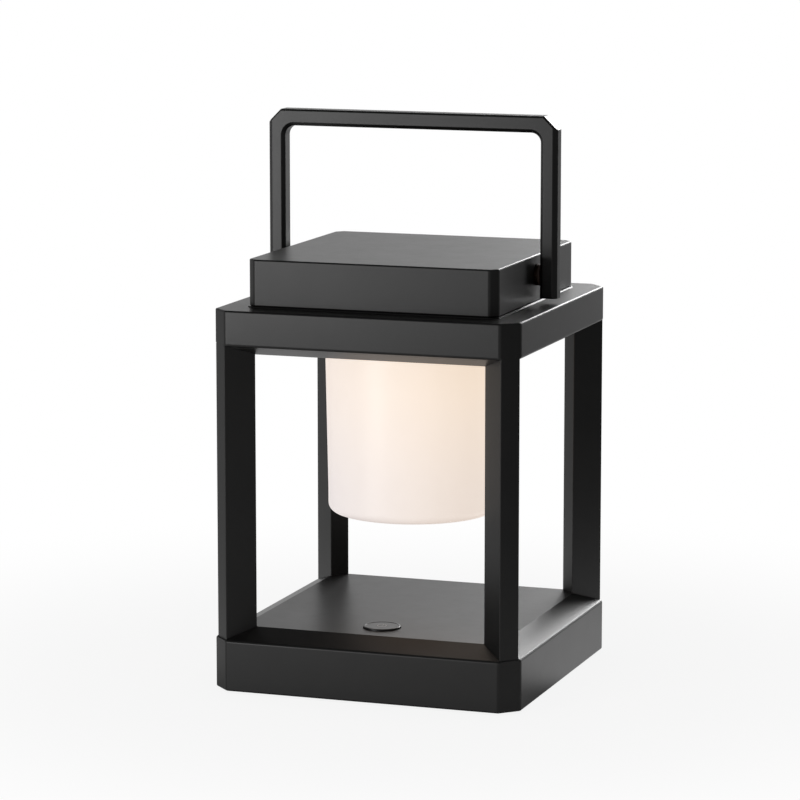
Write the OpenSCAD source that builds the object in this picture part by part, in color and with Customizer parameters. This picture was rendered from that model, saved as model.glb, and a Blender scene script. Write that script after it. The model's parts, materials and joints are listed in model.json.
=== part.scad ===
// Lantern table lamp: a square open frame on four diagonal bars, with a hanging opal shade,
// a rechargeable base with a push button, and a bail handle that folds down round the cap.
// Millimetres. +X is right, +Y is back, +Z is up. The origin is the middle of the resting face.

/* [Base] */
// Outer width of the square base rail
base_w = 141.5; // [117.5:0.5:180]
// Leg of the chamfer on the upright corners of the base
base_chamfer = 7.8; // [6:0.1:10]
// Thickness of the base housing's upright walls
base_wall = 2.5; // [1.5:0.1:4]
// Thickness of the base housing's slopes and deck
base_skin = 2.2; // [1.5:0.1:3]
// Run of the slope between a rail's edge and the flat panel, in the base and the roof
slope_run = 11.4; // [8:0.1:15]
// Height that the base slope climbs to the deck
deck_rise = 4.9; // [3:0.1:8]
// Thickness of the bottom cover
cover_t = 2.2; // [1.6:0.1:4]
// Height that the rubber feet stand proud of the bottom cover
foot_stand = 1; // [0.5:0.1:3]
// Diameter of a rubber foot
foot_d = 12; // [8:0.5:16]
// Distance of a foot's middle from the base's sides
foot_inset = 16.75; // [14:0.25:22]
// Depth that a foot is let into the cover
foot_let_in = 0.8; // [0.4:0.1:1.2]

/* [Posts] */
// Visible length of a post, from the base rail to the roof rail
post_len = 131.1; // [90:0.1:220]
// Width of a post across the diagonal
post_t = 9.2; // [7:0.1:12]
// Depth of a post along the diagonal
post_d = 14.8; // [12.3:0.1:20]
// Diameter of the bore that carries the lead
lead_bore_d = 4.4; // [3:0.1:5]

/* [Roof] */
// How much narrower the roof is than the base
roof_inset = 1.5; // [0:0.1:4]
// Height of the upright face of the roof rail
roof_rail_h = 15.4; // [13:0.1:30]
// Leg of the chamfer on the upright corners of the roof
roof_chamfer = 7.3; // [6:0.1:10]
// Thickness of the roof shell's upright walls
roof_wall = 2.5; // [1.5:0.1:4]
// Thickness of the roof shell's top and of the ceiling cover
roof_skin = 2; // [1.5:0.1:3]
// Height that the underside slope drops to the ceiling
ceiling_drop = 5; // [3:0.1:8]

/* [Cap] */
// Width of the roof's ledge round the cap block
ledge_w = 12.7; // [10:0.1:24]
// Height of the cap block
cap_h = 20.7; // [18:0.1:40]
// Leg of the chamfer on the cap's upright corners
cap_chamfer = 3.4; // [1:0.1:6]
// Thickness of the cap's walls and top
cap_wall = 2.5; // [1.5:0.1:4]
// Height of the low step on the roof that the cap stands on
step_h = 0.5; // [0.3:0.1:2]
// How far the foot of that step stands out past the cap
step_out = 0.5; // [0.2:0.1:1]

/* [Handle] */
// Gap between an arm of the bail and the cap
arm_gap = 2.4; // [2.2:0.1:6]
// Width of an arm, along X
arm_w = 7.8; // [6:0.1:10]
// Depth of the arms and the crossbar, along Y
arm_d = 8.7; // [7:0.1:9.5]
// Height of the crossbar
crossbar_h = 7.4; // [5:0.1:12]
// Leg of the chamfer round the front and back edges of the hand opening
bail_edge = 1.5; // [0.5:0.1:2]
// Leg of the chamfer along the outer edges of the arms
arm_edge = 1.9; // [0.5:0.1:2]
// Leg of the chamfer along the crossbar's top edges and the outer corners' edges
bar_edge = 0.7; // [0.4:0.1:2]
// Space between the cap and the crossbar when the handle lies folded down
fold_gap = 5.4; // [2:0.1:60]
// Height of the pivot above the roof
pivot_rise = 12.4; // [11:0.1:13]
// Gap between the arms' lower ends and the roof, with the handle up
tail_gap = 2.3; // [2:0.1:5]
// Leg of the chamfer on the bail's outer corners
handle_chamfer = 6; // [3:0.1:8]
// Radius of the bail's inner corners
handle_fillet = 4.4; // [2.5:0.1:10]
// Diameter of a pivot pin
pin_d = 4; // [3:0.1:5]
// Depth of a pin's blind hole in an arm
pin_seat = 4.6; // [2:0.1:5]

/* [Shade] */
// Outer radius of the shade where it meets the ceiling
shade_r_top = 39.5; // [30:0.1:41]
// Outer radius of the shade at its foot
shade_r_foot = 38.2; // [28:0.1:41]
// Length of shade that hangs below the ceiling
shade_drop = 76.2; // [50:0.1:85]
// Thickness of the shade's wall
shade_wall = 2; // [1.2:0.1:3]
// Radius of the shade's rounded foot
shade_round = 4; // [2.5:0.1:8]
// Width of the flange that the shade hangs by
shade_flange = 3.5; // [2:0.1:4]

/* [Button] */
// Diameter of the push button
button_d = 16.6; // [12:0.1:20]
// Distance of the button's middle from the deck's front edge
button_inset = 16.75; // [14:0.25:20]
// Height that the button stands above the deck
button_stand = 0.8; // [0.7:0.1:2]
// Travel of the button
button_travel = 0.6; // [0.3:0.1:0.7]

/* [Battery] */
// Diameter of a battery cell
cell_d = 18.4; // [14:0.1:18.6]
// Length of a battery cell
cell_len = 65; // [50:0.5:70]
// Distance between the axes of the two cells
cell_pitch = 20; // [19.4:0.1:21]
// Space between the battery tray and the charging board
pack_gap = 5.3; // [4:0.1:7]
// Room between the cells and the deck's underside, filled by the foam pad
pad_room = 3.6; // [2:0.1:20]

/* [Charging board] */
// Width of the board, along X
board_w = 46; // [40:0.5:56]
// Depth of the board, along Y
board_d = 25; // [22:0.5:27]
// Thickness of every circuit board
board_t = 1.6; // [1:0.1:2]
// Height of the charging inlet's axis above the housing's bottom edge
inlet_z = 11.8; // [10:0.1:14]

/* [Light] */
// Thickness of the aluminium plate that carries the light
light_plate_t = 2; // [1:0.1:3]
// Radius of the light's circuit board
light_board_r = 22; // [18:0.5:26]
// Number of light chips on the outer ring of the board
chip_count = 10; // [6:1:14]

/* [Fits] */
// Sliding clearance between fixed pieces that fit together, on each side
fit = 0.15; // [0.05:0.05:0.25]
// Running clearance of a pivot pin in its bush, on the radius
running_fit = 0.03; // [0.01:0.01:0.08]
// Clearance round the button, on the radius
button_fit = 0.3; // [0.2:0.05:0.5]
// Small gap between faces that turn or slide past one another
face_gap = 0.05; // [0.02:0.01:0.1]

/* [Hidden] */
$fn = 48;
eps = 0.01;
root2 = sqrt(2);

// Widths and heights that follow from the pieces they hold or go round
tray_floor = 1.2;
base_rail_h = cover_t + tray_floor + cell_d + pad_room + base_skin - deck_rise;
roof_w = base_w - roof_inset;
cap_w = roof_w - 2 * ledge_w;
handle_w = cap_w + 2 * (arm_gap + arm_w);
handle_rise = cap_w / 2 + fold_gap + crossbar_h;
tail = pivot_rise - tail_gap;

// Heights of the main levels
z_base = foot_stand;
z_rail = z_base + base_rail_h;
z_deck = z_rail + deck_rise;
z_roof = z_rail + post_len;
z_roof_top = z_roof + roof_rail_h;
z_ceiling = z_roof - ceiling_drop;
z_cap = z_roof_top + step_h;
z_cap_top = z_cap + cap_h;
z_pivot = z_roof_top + pivot_rise;
z_handle_top = z_pivot + handle_rise;
z_cover = z_base + cover_t;
z_deck_under = z_deck - base_skin;
z_ceiling_in = z_ceiling + roof_skin;
z_roof_under = z_roof_top - roof_skin;

// Screws: shank and head of the M3 and M2 sizes, and the thread engagement
m3_d = 3;
m3_head_d = 5.5;
m3_head_h = 2.2;
m2_d = 2;
m2_head_d = 3.8;
m2_head_h = 1.3;
thread_gap = 0.03;
hole_gap = 0.2;
boss_d = 7;
small_boss_d = 5;
bite = 6;
m2_bite = 3;

lead_d = 2;

// Posts: the diagonal distances of the faces and the bores
post_out = (roof_w - roof_chamfer) / root2;
post_in = post_out - post_d;
base_corner_in = (base_w - 2 * base_wall - inner_leg(base_chamfer, base_wall)) / root2;
rod_at = base_corner_in - m3_head_d / 2 - hole_gap;
lead_at = (post_in + rod_at - m3_d / 2 - hole_gap) / 2;
seat_t = 5;
seat_edge = 2;
rod_boss_d = 2 * (rod_at - lead_at - lead_d / 2 - 0.4);
rod_bite = 8;

// Places of the screws that hold the covers, the cap and the boards
foot_place = base_w / 2 - foot_inset;
cover_screw_x = foot_place - 14;
cover_screw_y = base_w / 2 - 10.8;
ceiling_screw_at = roof_w / 2 - 20;
cap_screw_x = cap_w / 2 - 11.3;
cap_screw_y = 24;
light_plate_r = shade_r_top + shade_flange + 7;
light_screw_at = light_plate_r - 3.5;

// Charging board and inlet
z_inlet = z_base + inlet_z;
inlet_w = 8.94;
inlet_h = 3.26;
inlet_len = 7.35;
inlet_metal = 0.3;
inlet_recess = 1;
inlet_rim = 2.6;
inlet_back = base_w / 2 - inlet_recess - inlet_len;
tongue_w = 6.7;
tongue_h = 0.7;
tongue_len = 5.6;
z_board = z_inlet - inlet_h / 2 - board_t;
board_back = base_w / 2 - base_wall - 0.6;
board_mid_y = board_back - board_d / 2;
board_screw_x = board_w / 2 - 3.5;
board_screw_y = board_d / 2 - 3.5;

// Battery pack
tray_wall = 1.5;
z_cell = z_cover + tray_floor + cell_d / 2;
strip_t = 0.4;
strip_h = 8;
tray_len = cell_len + 2 * strip_t + 2 * fit + 2 * tray_wall;
tray_w = cell_pitch + cell_d + 2 * fit + 2 * tray_wall;
tray_h = 9;
board_front = board_back - board_d;
pack_y = board_front - pack_gap - tray_w / 2;

// Button and switch
flange_w = 1.7;
flange_t = 1;
stem_d = 5;
switch_side = 6;
switch_h = 3.5;
plunger_d = 3.4;
plunger_stand = 1.3;
plunger_hidden = 1.2;
z_switch_board = z_deck_under - 9.9;
z_switch_top = z_switch_board + board_t + switch_h;
switch_board_d = 16;
button_y = base_w / 2 - slope_run - button_inset;
switch_screw_x = button_d / 2 + flange_w + small_boss_d / 2 + 1;
switch_board_w = 2 * (switch_screw_x + small_boss_d / 2);

// Handle pivot: places along X, outward from the middle
arm_in = handle_w / 2 - arm_w;
bush_d = 7;
bush_flange_d = 9.6;
washer_t = 0.8;
bush_face = arm_in - face_gap - washer_t;
bush_in = cap_w / 2 - cap_wall - 2;
spring_t = 0.5;
spring_cone = 0.3;
clip_t = 0.6;
clip_d = 8;
pin_in = bush_in - spring_t - spring_cone - clip_t - 1.2;

// Shade and light
flange_t_shade = 2;
z_light_plate = z_ceiling_in + flange_t_shade;
z_light_board = z_light_plate - board_t;
chip_side = 3;
chip_h = 0.7;
chip_ring = light_board_r - 4;

// Leads
lead_sides = 10;
lead_bend = 2.4;
bend_steps = 4;
lead_clear = 3;
solder_gap = lead_d / 2 + face_gap;

// Where the light's lead meets the light board, and the heights and places of its run
lead_entry = [-12, 12, 0];
bore_x = -lead_at / root2;
bore_y = lead_at / root2;
z_roof_run = z_light_plate + light_plate_t + 3.5;
roof_run = 30;
z_board_run = z_board + board_t + solder_gap;

paint = "#29292b";
metal = "#b9bcc0";
plastic = "#1d1d1f";
circuit = "#1f6b3c";
opal = "#f6efe4";

// ---------- shared shapes ----------

// A square of width w whose corners are cut by a chamfer with the given leg
module cut_square(w, leg) {
    h = w / 2;
    polygon([
        [h, -h + leg], [h, h - leg], [h - leg, h], [-h + leg, h],
        [-h, h - leg], [-h, -h + leg], [-h + leg, -h], [h - leg, -h]
    ]);
}

// The chamfer leg of a shape that lies inside another by an even wall
function inner_leg(leg, wall) = leg - wall * (2 - root2);

// A block between two heights, in plan a cut square
module block(w, leg, low, high) {
    translate([0, 0, low]) linear_extrude(high - low) cut_square(w, leg);
}

// A prism along Y whose outline runs in X and Z
module along_y(points, length) {
    rotate([90, 0, 0]) linear_extrude(length, center = true) polygon(points);
}

// A rail with a hipped panel: plain walls from `flat` to `edge`, then slopes to `panel`
module hipped(w, leg, flat, edge, panel, run) {
    h = w / 2;
    outline = [[-h, flat], [h, flat], [h, edge], [h - run, panel], [-h + run, panel], [-h, edge]];
    intersection() {
        block(w, leg, min(flat, panel), max(flat, panel));
        along_y(outline, 2 * w);
        rotate(90) along_y(outline, 2 * w);
    }
}

module at_corners() {
    for (turn = [45:90:315]) rotate(turn) children();
}

module at_four(x, y) {
    for (sx = [-1, 1], sy = [-1, 1]) translate([sx * x, sy * y, 0]) children();
}

module on_both_sides() {
    children();
    mirror([1, 0, 0]) children();
}

module rod(d, low, high) {
    translate([0, 0, low]) cylinder(d = d, h = high - low);
}

// A pan-head screw that points up or down from the height of its head's bearing face
module screw(d, head_d, head_h, bearing, length, up) {
    translate([0, 0, bearing]) mirror([0, 0, up ? 0 : 1]) {
        rod(d, 0, length);
        difference() {
            rod(head_d, -head_h, 0);
            rod(d * 0.6, -head_h - eps, -head_h / 2);
        }
    }
}

function unit(v) = v / norm(v);

// The route with each corner eased into a bend that starts and ends `lead_bend` from it
function eased(route) = [
    route[0],
    for (i = [1:len(route) - 2])
        let (
            corner = route[i],
            before = corner - lead_bend * unit(corner - route[i - 1]),
            after = corner + lead_bend * unit(route[i + 1] - corner)
        )
        for (k = [0:bend_steps])
            let (t = k / bend_steps)
            (1 - t) * (1 - t) * before + 2 * t * (1 - t) * corner + t * t * after,
    route[len(route) - 1]
];

// The direction that halves the bend at a point, or of the run at either end
function heading(path, i) =
    i == 0 ? unit(path[1] - path[0]) :
    i == len(path) - 1 ? unit(path[i] - path[i - 1]) :
    unit(unit(path[i] - path[i - 1]) + unit(path[i + 1] - path[i]));

// A ring of points slid along a run until it lies in the plane at `stop` that faces `normal`
function slid(ring, along, stop, normal) = [
    for (q = ring) q + along * (((stop - q) * normal) / (along * normal))
];

function first_ring(path) =
    let (
        along = heading(path, 0),
        side = unit(cross(along, abs(along[2]) > 0.9 ? [1, 0, 0] : [0, 0, 1])),
        up = cross(side, along)
    )
    [for (k = [0:lead_sides - 1])
        let (a = 360 * k / lead_sides)
        path[0] + lead_d / 2 * (cos(a) * side + sin(a) * up)];

function rings(path) = [
    for (
        i = 0, ring = first_ring(path);
        i < len(path);
        i = i + 1,
        ring = i < len(path) ? slid(ring, unit(path[i] - path[i - 1]), path[i], heading(path, i)) : ring
    ) ring
];

// A round lead that runs along a route
module lead(route) {
    path = eased(route);
    ring_list = rings(path);
    points = [for (ring = ring_list) each ring];
    last = (len(path) - 1) * lead_sides;
    polyhedron(points, [
        [for (k = [0:lead_sides - 1]) lead_sides - 1 - k],
        for (i = [0:len(path) - 2], k = [0:lead_sides - 1])
            let (a = i * lead_sides, next = (k + 1) % lead_sides)
            [a + k, a + next, a + next + lead_sides, a + k + lead_sides],
        [for (k = [0:lead_sides - 1]) last + k]
    ]);
}

// ---------- base ----------

module base_body() {
    hipped(base_w, base_chamfer, z_base, z_rail, z_deck, slope_run);
}

module base_hollow() {
    fall = deck_rise / slope_run;
    hipped(base_w - 2 * base_wall, inner_leg(base_chamfer, base_wall), z_base - 1,
        z_rail + base_wall * fall - base_skin, z_deck_under, slope_run - base_wall);
}

module base_bosses() {
    at_four(cover_screw_x, cover_screw_y) rod(boss_d, z_cover, z_deck);
    for (sx = [-1, 1]) translate([sx * switch_screw_x, -button_y, 0])
        rod(small_boss_d, z_switch_board + board_t, z_deck_under + eps);
    at_corners() translate([post_in - seat_edge, -post_t / 2 - seat_edge, z_rail - seat_t])
        cube([base_w, post_t + 2 * seat_edge, seat_t + deck_rise]);
}

module base_housing() {
    color(paint) difference() {
        union() {
            difference() {
                base_body();
                base_hollow();
            }
            intersection() {
                base_bosses();
                base_body();
            }
        }
        at_corners() {
            translate([post_in - fit, -post_t / 2 - fit, z_rail])
                cube([post_d + base_chamfer, post_t + 2 * fit, deck_rise + 1]);
            translate([rod_at, 0, 0]) rod(m3_d + 2 * hole_gap, z_rail - seat_t - 1, z_rail + 1);
        }
        rotate(135) translate([lead_at, 0, 0]) rod(lead_bore_d, z_rail - seat_t - 1, z_rail + 1);
        at_four(cover_screw_x, cover_screw_y)
            rod(m3_d + 2 * thread_gap, z_cover - 1, z_cover + bite + 1);
        for (sx = [-1, 1]) translate([sx * switch_screw_x, -button_y, 0])
            rod(m2_d + 2 * thread_gap, z_switch_board, z_switch_board + board_t + m2_bite + 1);
        translate([0, -button_y, 0]) rod(button_d + 2 * button_fit, z_deck_under - 1, z_deck + 1);
        inlet_slot(2 * fit, inlet_back);
        inlet_slot(inlet_rim, base_w / 2 - inlet_recess);
    }
}

// A rounded slot for the charging inlet, wider than it by a margin, from a place on Y outward
module inlet_slot(margin, near) {
    far = base_w / 2 + 1;
    translate([0, far, z_inlet]) rotate([90, 0, 0])
        linear_extrude(far - near) stadium(inlet_w + margin, inlet_h + margin);
}

module stadium(w, h) {
    square([w - h, h], center = true);
    for (sx = [-1, 1]) translate([sx * (w - h) / 2, 0]) circle(d = h, $fn = 32);
}

module bottom_cover() {
    inner_w = base_w - 2 * base_wall;
    color(plastic) difference() {
        union() {
            block(inner_w - 2 * fit, inner_leg(base_chamfer, base_wall), z_base, z_cover);
            translate([0, board_mid_y, 0]) at_four(board_screw_x, board_screw_y)
                rod(small_boss_d, z_cover - eps, z_board);
        }
        at_four(cover_screw_x, cover_screw_y) {
            rod(m3_d + 2 * hole_gap, z_base - 1, z_cover + 1);
            rod(m3_head_d + 2 * hole_gap, z_base - 1, z_base + m3_head_h * 0.5);
        }
        translate([0, board_mid_y, 0]) at_four(board_screw_x, board_screw_y)
            rod(m2_d + 2 * thread_gap, z_board - m2_bite - 1, z_board + 1);
        at_four(foot_place, foot_place) rod(foot_d + 2 * fit, z_base - 1, z_base + foot_let_in);
    }
}

module cover_screws() {
    color(metal) at_four(cover_screw_x, cover_screw_y)
        screw(m3_d, m3_head_d, m3_head_h * 0.5, z_base + m3_head_h * 0.5, cover_t + bite - 1, true);
}

module rubber_feet() {
    color("#111111") at_four(foot_place, foot_place) rod(foot_d, 0, z_base + foot_let_in);
}

// ---------- battery ----------

module battery_tray() {
    color("#2c2f33") translate([0, pack_y, 0]) difference() {
        translate([-tray_len / 2, -tray_w / 2, z_cover]) cube([tray_len, tray_w, tray_h]);
        translate([0, 0, z_cell]) for (sy = [-1, 1]) translate([0, sy * cell_pitch / 2, 0])
            rotate([0, 90, 0]) cylinder(
                d = cell_d + 2 * fit, h = tray_len - 2 * tray_wall, center = true, $fn = 64);
        translate([-tray_len / 2 + tray_wall, -cell_pitch / 2, z_cell - strip_h / 2 - 1])
            cube([tray_len - 2 * tray_wall, cell_pitch, tray_h]);
    }
}

module battery_cells() {
    color("#3f7fb5") translate([0, pack_y, z_cell]) for (sy = [-1, 1])
        translate([0, sy * cell_pitch / 2, 0]) rotate([0, 90, 0])
            cylinder(d = cell_d, h = cell_len, center = true, $fn = 64);
}

module cell_strips() {
    width = cell_pitch + 8;
    color(metal) translate([0, pack_y, 0]) on_both_sides()
        translate([cell_len / 2, -width / 2, z_cell - strip_h / 2]) cube([strip_t, width, strip_h]);
}

module battery_foam() {
    low = z_cell + cell_d / 2 + face_gap;
    width = cell_pitch + cell_d / 2;
    color("#3a3a3a") translate([-cell_len * 0.4, pack_y - width / 2, low])
        cube([cell_len * 0.8, width, z_deck_under - face_gap - low]);
}

// ---------- charging board ----------

module charge_board() {
    color(circuit) difference() {
        translate([-board_w / 2, board_back - board_d, z_board]) cube([board_w, board_d, board_t]);
        translate([0, board_mid_y, 0]) at_four(board_screw_x, board_screw_y)
            rod(m2_d + 2 * hole_gap, z_board - 1, z_board + board_t + 1);
    }
}

module charge_parts() {
    top = z_board + board_t;
    coil = [6.5, 6.5, 3];
    controller = [5, 5, 1.2];
    charger = [4, 3, 1.1];
    color("#2a2a2a") translate([0, board_mid_y, 0]) {
        translate([-2 * coil[0], -5, top]) cube(coil);
        translate([-2, -5, top]) cube(controller);
        translate([7, -4, top]) cube(charger);
        translate([-10, 6, 0]) rod(5, top, top + 5.5);
        translate([9.5, 5, 0]) rod(4, top, top + 4.5);
    }
}

module charge_board_screws() {
    color(metal) translate([0, board_mid_y, 0]) at_four(board_screw_x, board_screw_y)
        screw(m2_d, m2_head_d, m2_head_h, z_board + board_t, board_t + m2_bite, false);
}

module inlet_shell() {
    color(metal) translate([0, 0, z_inlet]) difference() {
        translate([0, inlet_back + inlet_len, 0]) rotate([90, 0, 0])
            linear_extrude(inlet_len) stadium(inlet_w, inlet_h);
        translate([0, inlet_back + inlet_len + 1, 0]) rotate([90, 0, 0])
            linear_extrude(inlet_len) stadium(inlet_w - 2 * inlet_metal, inlet_h - 2 * inlet_metal);
    }
}

module inlet_tongue() {
    color("#1a1a1a") translate([-tongue_w / 2, inlet_back + 1, z_inlet - tongue_h / 2])
        cube([tongue_w, tongue_len, tongue_h]);
}

// ---------- button and switch ----------

module switch_board() {
    color(circuit) difference() {
        translate([-switch_board_w / 2, -button_y - switch_board_d / 2, z_switch_board])
            cube([switch_board_w, switch_board_d, board_t]);
        for (sx = [-1, 1]) translate([sx * switch_screw_x, -button_y, 0])
            rod(m2_d + 2 * hole_gap, z_switch_board - 1, z_switch_board + board_t + 1);
    }
}

module switch_board_screws() {
    color(metal) for (sx = [-1, 1]) translate([sx * switch_screw_x, -button_y, 0])
        screw(m2_d, m2_head_d, m2_head_h, z_switch_board, board_t + m2_bite, true);
}

module switch_body() {
    color("#303030") difference() {
        translate([-switch_side / 2, -button_y - switch_side / 2, z_switch_board + board_t])
            cube([switch_side, switch_side, switch_h]);
        translate([0, -button_y, 0]) rod(plunger_d + 2 * button_fit,
            z_switch_top - plunger_hidden - button_travel - 0.3, z_switch_top + 1);
    }
}

module switch_plunger() {
    color("#c9a24a") translate([0, -button_y, 0])
        rod(plunger_d, z_switch_top - plunger_hidden, z_switch_top + plunger_stand);
}

module button_cap() {
    top = z_deck + button_stand;
    flange_top = z_deck_under - face_gap;
    color("#3b3b3d") translate([0, -button_y, 0]) {
        rod(button_d, flange_top - eps, top);
        rod(button_d + 2 * flange_w, flange_top - flange_t, flange_top);
        rod(stem_d, z_switch_top + plunger_stand, flange_top - flange_t + eps);
    }
}

// ---------- posts ----------

module post(turn) {
    color(paint) rotate(turn) difference() {
        translate([post_in, -post_t / 2, z_rail]) cube([post_d, post_t, post_len]);
        translate([rod_at, 0, 0]) rod(m3_d + 2 * hole_gap, z_rail - 1, z_roof + 1);
        translate([lead_at, 0, 0]) rod(lead_bore_d, z_rail - 1, z_roof + 1);
    }
}

module post_back_right() {
    post(45);
}

module post_back_left() {
    post(135);
}

module post_front_left() {
    post(225);
}

module post_front_right() {
    post(315);
}

module tie_rods() {
    color(metal) at_corners() translate([rod_at, 0, 0])
        screw(m3_d, m3_head_d, m3_head_h, z_rail - seat_t, seat_t + post_len + rod_bite, true);
}

// ---------- roof ----------

module roof_body() {
    hipped(roof_w, roof_chamfer, z_roof_top, z_roof, z_ceiling, slope_run);
}

module post_cut(low, high) {
    at_corners() translate([post_in - fit, -post_t / 2 - fit, low])
        cube([post_d + roof_chamfer, post_t + 2 * fit, high - low]);
}

module roof_shell() {
    inner_w = roof_w - 2 * roof_wall;
    color(paint) difference() {
        union() {
            difference() {
                intersection() {
                    roof_body();
                    block(roof_w, roof_chamfer, z_ceiling - 1, z_roof_top);
                }
                block(inner_w, inner_leg(roof_chamfer, roof_wall), z_ceiling - 2, z_roof_under);
            }
            hipped(cap_w + 2 * step_out, cap_chamfer, z_roof_top - eps, z_roof_top, z_cap, step_out);
            intersection() {
                union() {
                    at_corners() translate([rod_at, 0, 0]) rod(rod_boss_d, z_roof, z_roof_under + eps);
                    at_four(ceiling_screw_at, ceiling_screw_at)
                        rod(boss_d, z_ceiling_in, z_roof_under + eps);
                }
                block(roof_w, roof_chamfer, z_ceiling, z_roof_top);
            }
        }
        post_cut(z_ceiling - 2, z_roof);
        at_corners() translate([rod_at, 0, 0])
            rod(m3_d + 2 * thread_gap, z_roof - 1, z_roof + rod_bite + 1);
        at_four(ceiling_screw_at, ceiling_screw_at)
            rod(m3_d + 2 * thread_gap, z_ceiling, z_ceiling_in + bite + 1);
        at_four(cap_screw_x, cap_screw_y) rod(m3_d + 2 * hole_gap, z_roof_under - 1, z_cap + 1);
    }
}

module ceiling_cover() {
    inner_w = roof_w - 2 * roof_wall - 2 * fit;
    color(paint) difference() {
        union() {
            intersection() {
                difference() {
                    roof_body();
                    translate([0, 0, roof_skin]) roof_body();
                }
                block(inner_w, inner_leg(roof_chamfer, roof_wall), z_ceiling - 1, z_roof + roof_skin);
            }
            for (turn = [45:90:315]) rotate(turn) translate([light_screw_at, 0, 0])
                rod(small_boss_d, z_ceiling_in - eps, z_light_plate);
        }
        post_cut(z_ceiling - 2, z_roof + roof_skin + 1);
        rod(2 * (shade_r_top + fit), z_ceiling - 1, z_ceiling_in + 1, $fn = 96);
        for (turn = [45:90:315]) rotate(turn) translate([light_screw_at, 0, 0])
            rod(m2_d + 2 * thread_gap, z_ceiling + 0.6, z_light_plate + 1);
        at_four(ceiling_screw_at, ceiling_screw_at) {
            rod(m3_d + 2 * hole_gap, z_ceiling - 1, z_ceiling_in + 1);
            rod(m3_head_d + 2 * hole_gap, z_ceiling - 1, z_ceiling + m3_head_h * 0.5);
        }
    }
}

module ceiling_screws() {
    color(paint) at_four(ceiling_screw_at, ceiling_screw_at)
        screw(m3_d, m3_head_d, m3_head_h * 0.5, z_ceiling + m3_head_h * 0.5, roof_skin + bite - 1, true);
}

// ---------- cap ----------

module cap_block() {
    inner_w = cap_w - 2 * cap_wall;
    color(paint) difference() {
        union() {
            difference() {
                block(cap_w, cap_chamfer, z_cap, z_cap_top);
                block(inner_w, inner_leg(cap_chamfer, cap_wall), z_cap - 1, z_cap_top - cap_wall);
            }
            at_four(cap_screw_x, cap_screw_y) rod(boss_d, z_cap, z_cap_top - cap_wall + eps);
        }
        at_four(cap_screw_x, cap_screw_y) rod(m3_d + 2 * thread_gap, z_cap - 1, z_cap + bite + 1);
        translate([0, 0, z_pivot]) rotate([0, 90, 0])
            cylinder(d = bush_d + 2 * thread_gap, h = cap_w + 2, center = true);
    }
}

module cap_screws() {
    color(metal) at_four(cap_screw_x, cap_screw_y)
        screw(m3_d, m3_head_d, m3_head_h, z_roof_under, roof_skin + step_h + bite, true);
}

// ---------- handle ----------

// A rectangle between two corners, with a chamfer of one leg on all four
module edged(low, high, leg) {
    polygon([
        [low[0] + leg, low[1]], [high[0] - leg, low[1]], [high[0], low[1] + leg], [high[0], high[1] - leg],
        [high[0] - leg, high[1]], [low[0] + leg, high[1]], [low[0], high[1] - leg], [low[0], low[1] + leg]
    ]);
}

// What the bail keeps inside the chamfer on one outer corner
module corner_limit() {
    reach = 2 * (handle_w + handle_rise);
    slant = (handle_w / 2 + handle_rise - handle_chamfer) / root2;
    rotate([0, -45, 0]) linear_extrude(reach, center = true)
        edged([-reach, -arm_d / 2], [slant, arm_d / 2], bar_edge);
}

// The outside of the bail, about its pivot
module bail_body() {
    h = handle_w / 2;
    d = arm_d / 2;
    intersection() {
        translate([0, 0, -tail - 1])
            linear_extrude(tail + handle_rise + 2) edged([-h, -d], [h, d], arm_edge);
        rotate([90, 0, 90]) linear_extrude(handle_w + 2, center = true)
            edged([-d, -tail], [d, handle_rise], bar_edge);
        corner_limit();
        mirror([1, 0, 0]) corner_limit();
    }
}

// The section of the opening's wall, flared where the chamfer cuts the bail's front and back edges
module flared(near, wall) {
    d = arm_d / 2;
    reach = bail_edge + 1;
    polygon([
        [near, -d - 1], [wall + reach, -d - 1], [wall, -d + bail_edge],
        [wall, d - bail_edge], [wall + reach, d + 1], [near, d + 1]
    ]);
}

// The hand opening, with its rounded corners
module bail_opening() {
    side = handle_w / 2 - arm_w;
    top = handle_rise - crossbar_h;
    round_x = side - handle_fillet;
    round_z = top - handle_fillet;
    straight = arm_d - 2 * bail_edge;
    on_both_sides() {
        translate([0, 0, -tail - 1]) linear_extrude(tail + 1 + round_z) flared(-1, side);
        translate([round_x, 0, round_z]) rotate([90, 0, 0]) {
            cylinder(r = handle_fillet, h = straight + eps, center = true);
            for (turn = [0, 180]) rotate([turn, 0, 0]) translate([0, 0, straight / 2])
                cylinder(r1 = handle_fillet, r2 = handle_fillet + bail_edge + 1, h = bail_edge + 1);
        }
    }
    rotate([0, -90, 0]) linear_extrude(2 * round_x, center = true) flared(round_z - 1, top);
}

module handle() {
    color(paint) translate([0, 0, z_pivot]) difference() {
        bail_body();
        bail_opening();
        rotate([0, 90, 0])
            cylinder(d = pin_d + 2 * thread_gap, h = 2 * (arm_in + pin_seat), center = true);
    }
}

// A round piece on the pivot axis, between two distances from the middle
module on_axis(d, near, far) {
    translate([near, 0, z_pivot]) rotate([0, 90, 0]) cylinder(d = d, h = far - near);
}

module pivot_pins() {
    groove_out = bush_in - spring_t - spring_cone - face_gap;
    color(metal) on_both_sides() difference() {
        on_axis(pin_d, pin_in, arm_in + pin_seat - fit);
        difference() {
            on_axis(pin_d + 1, groove_out - clip_t - face_gap, groove_out);
            on_axis(pin_d - 1, pin_in, groove_out + 1);
        }
    }
}

module pivot_bushes() {
    color("#b08d4a") on_both_sides() difference() {
        union() {
            on_axis(bush_d, bush_in, cap_w / 2 + eps);
            on_axis(bush_flange_d, cap_w / 2, bush_face);
        }
        on_axis(pin_d + 2 * running_fit, bush_in - 1, bush_face + 1);
    }
}

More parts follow.
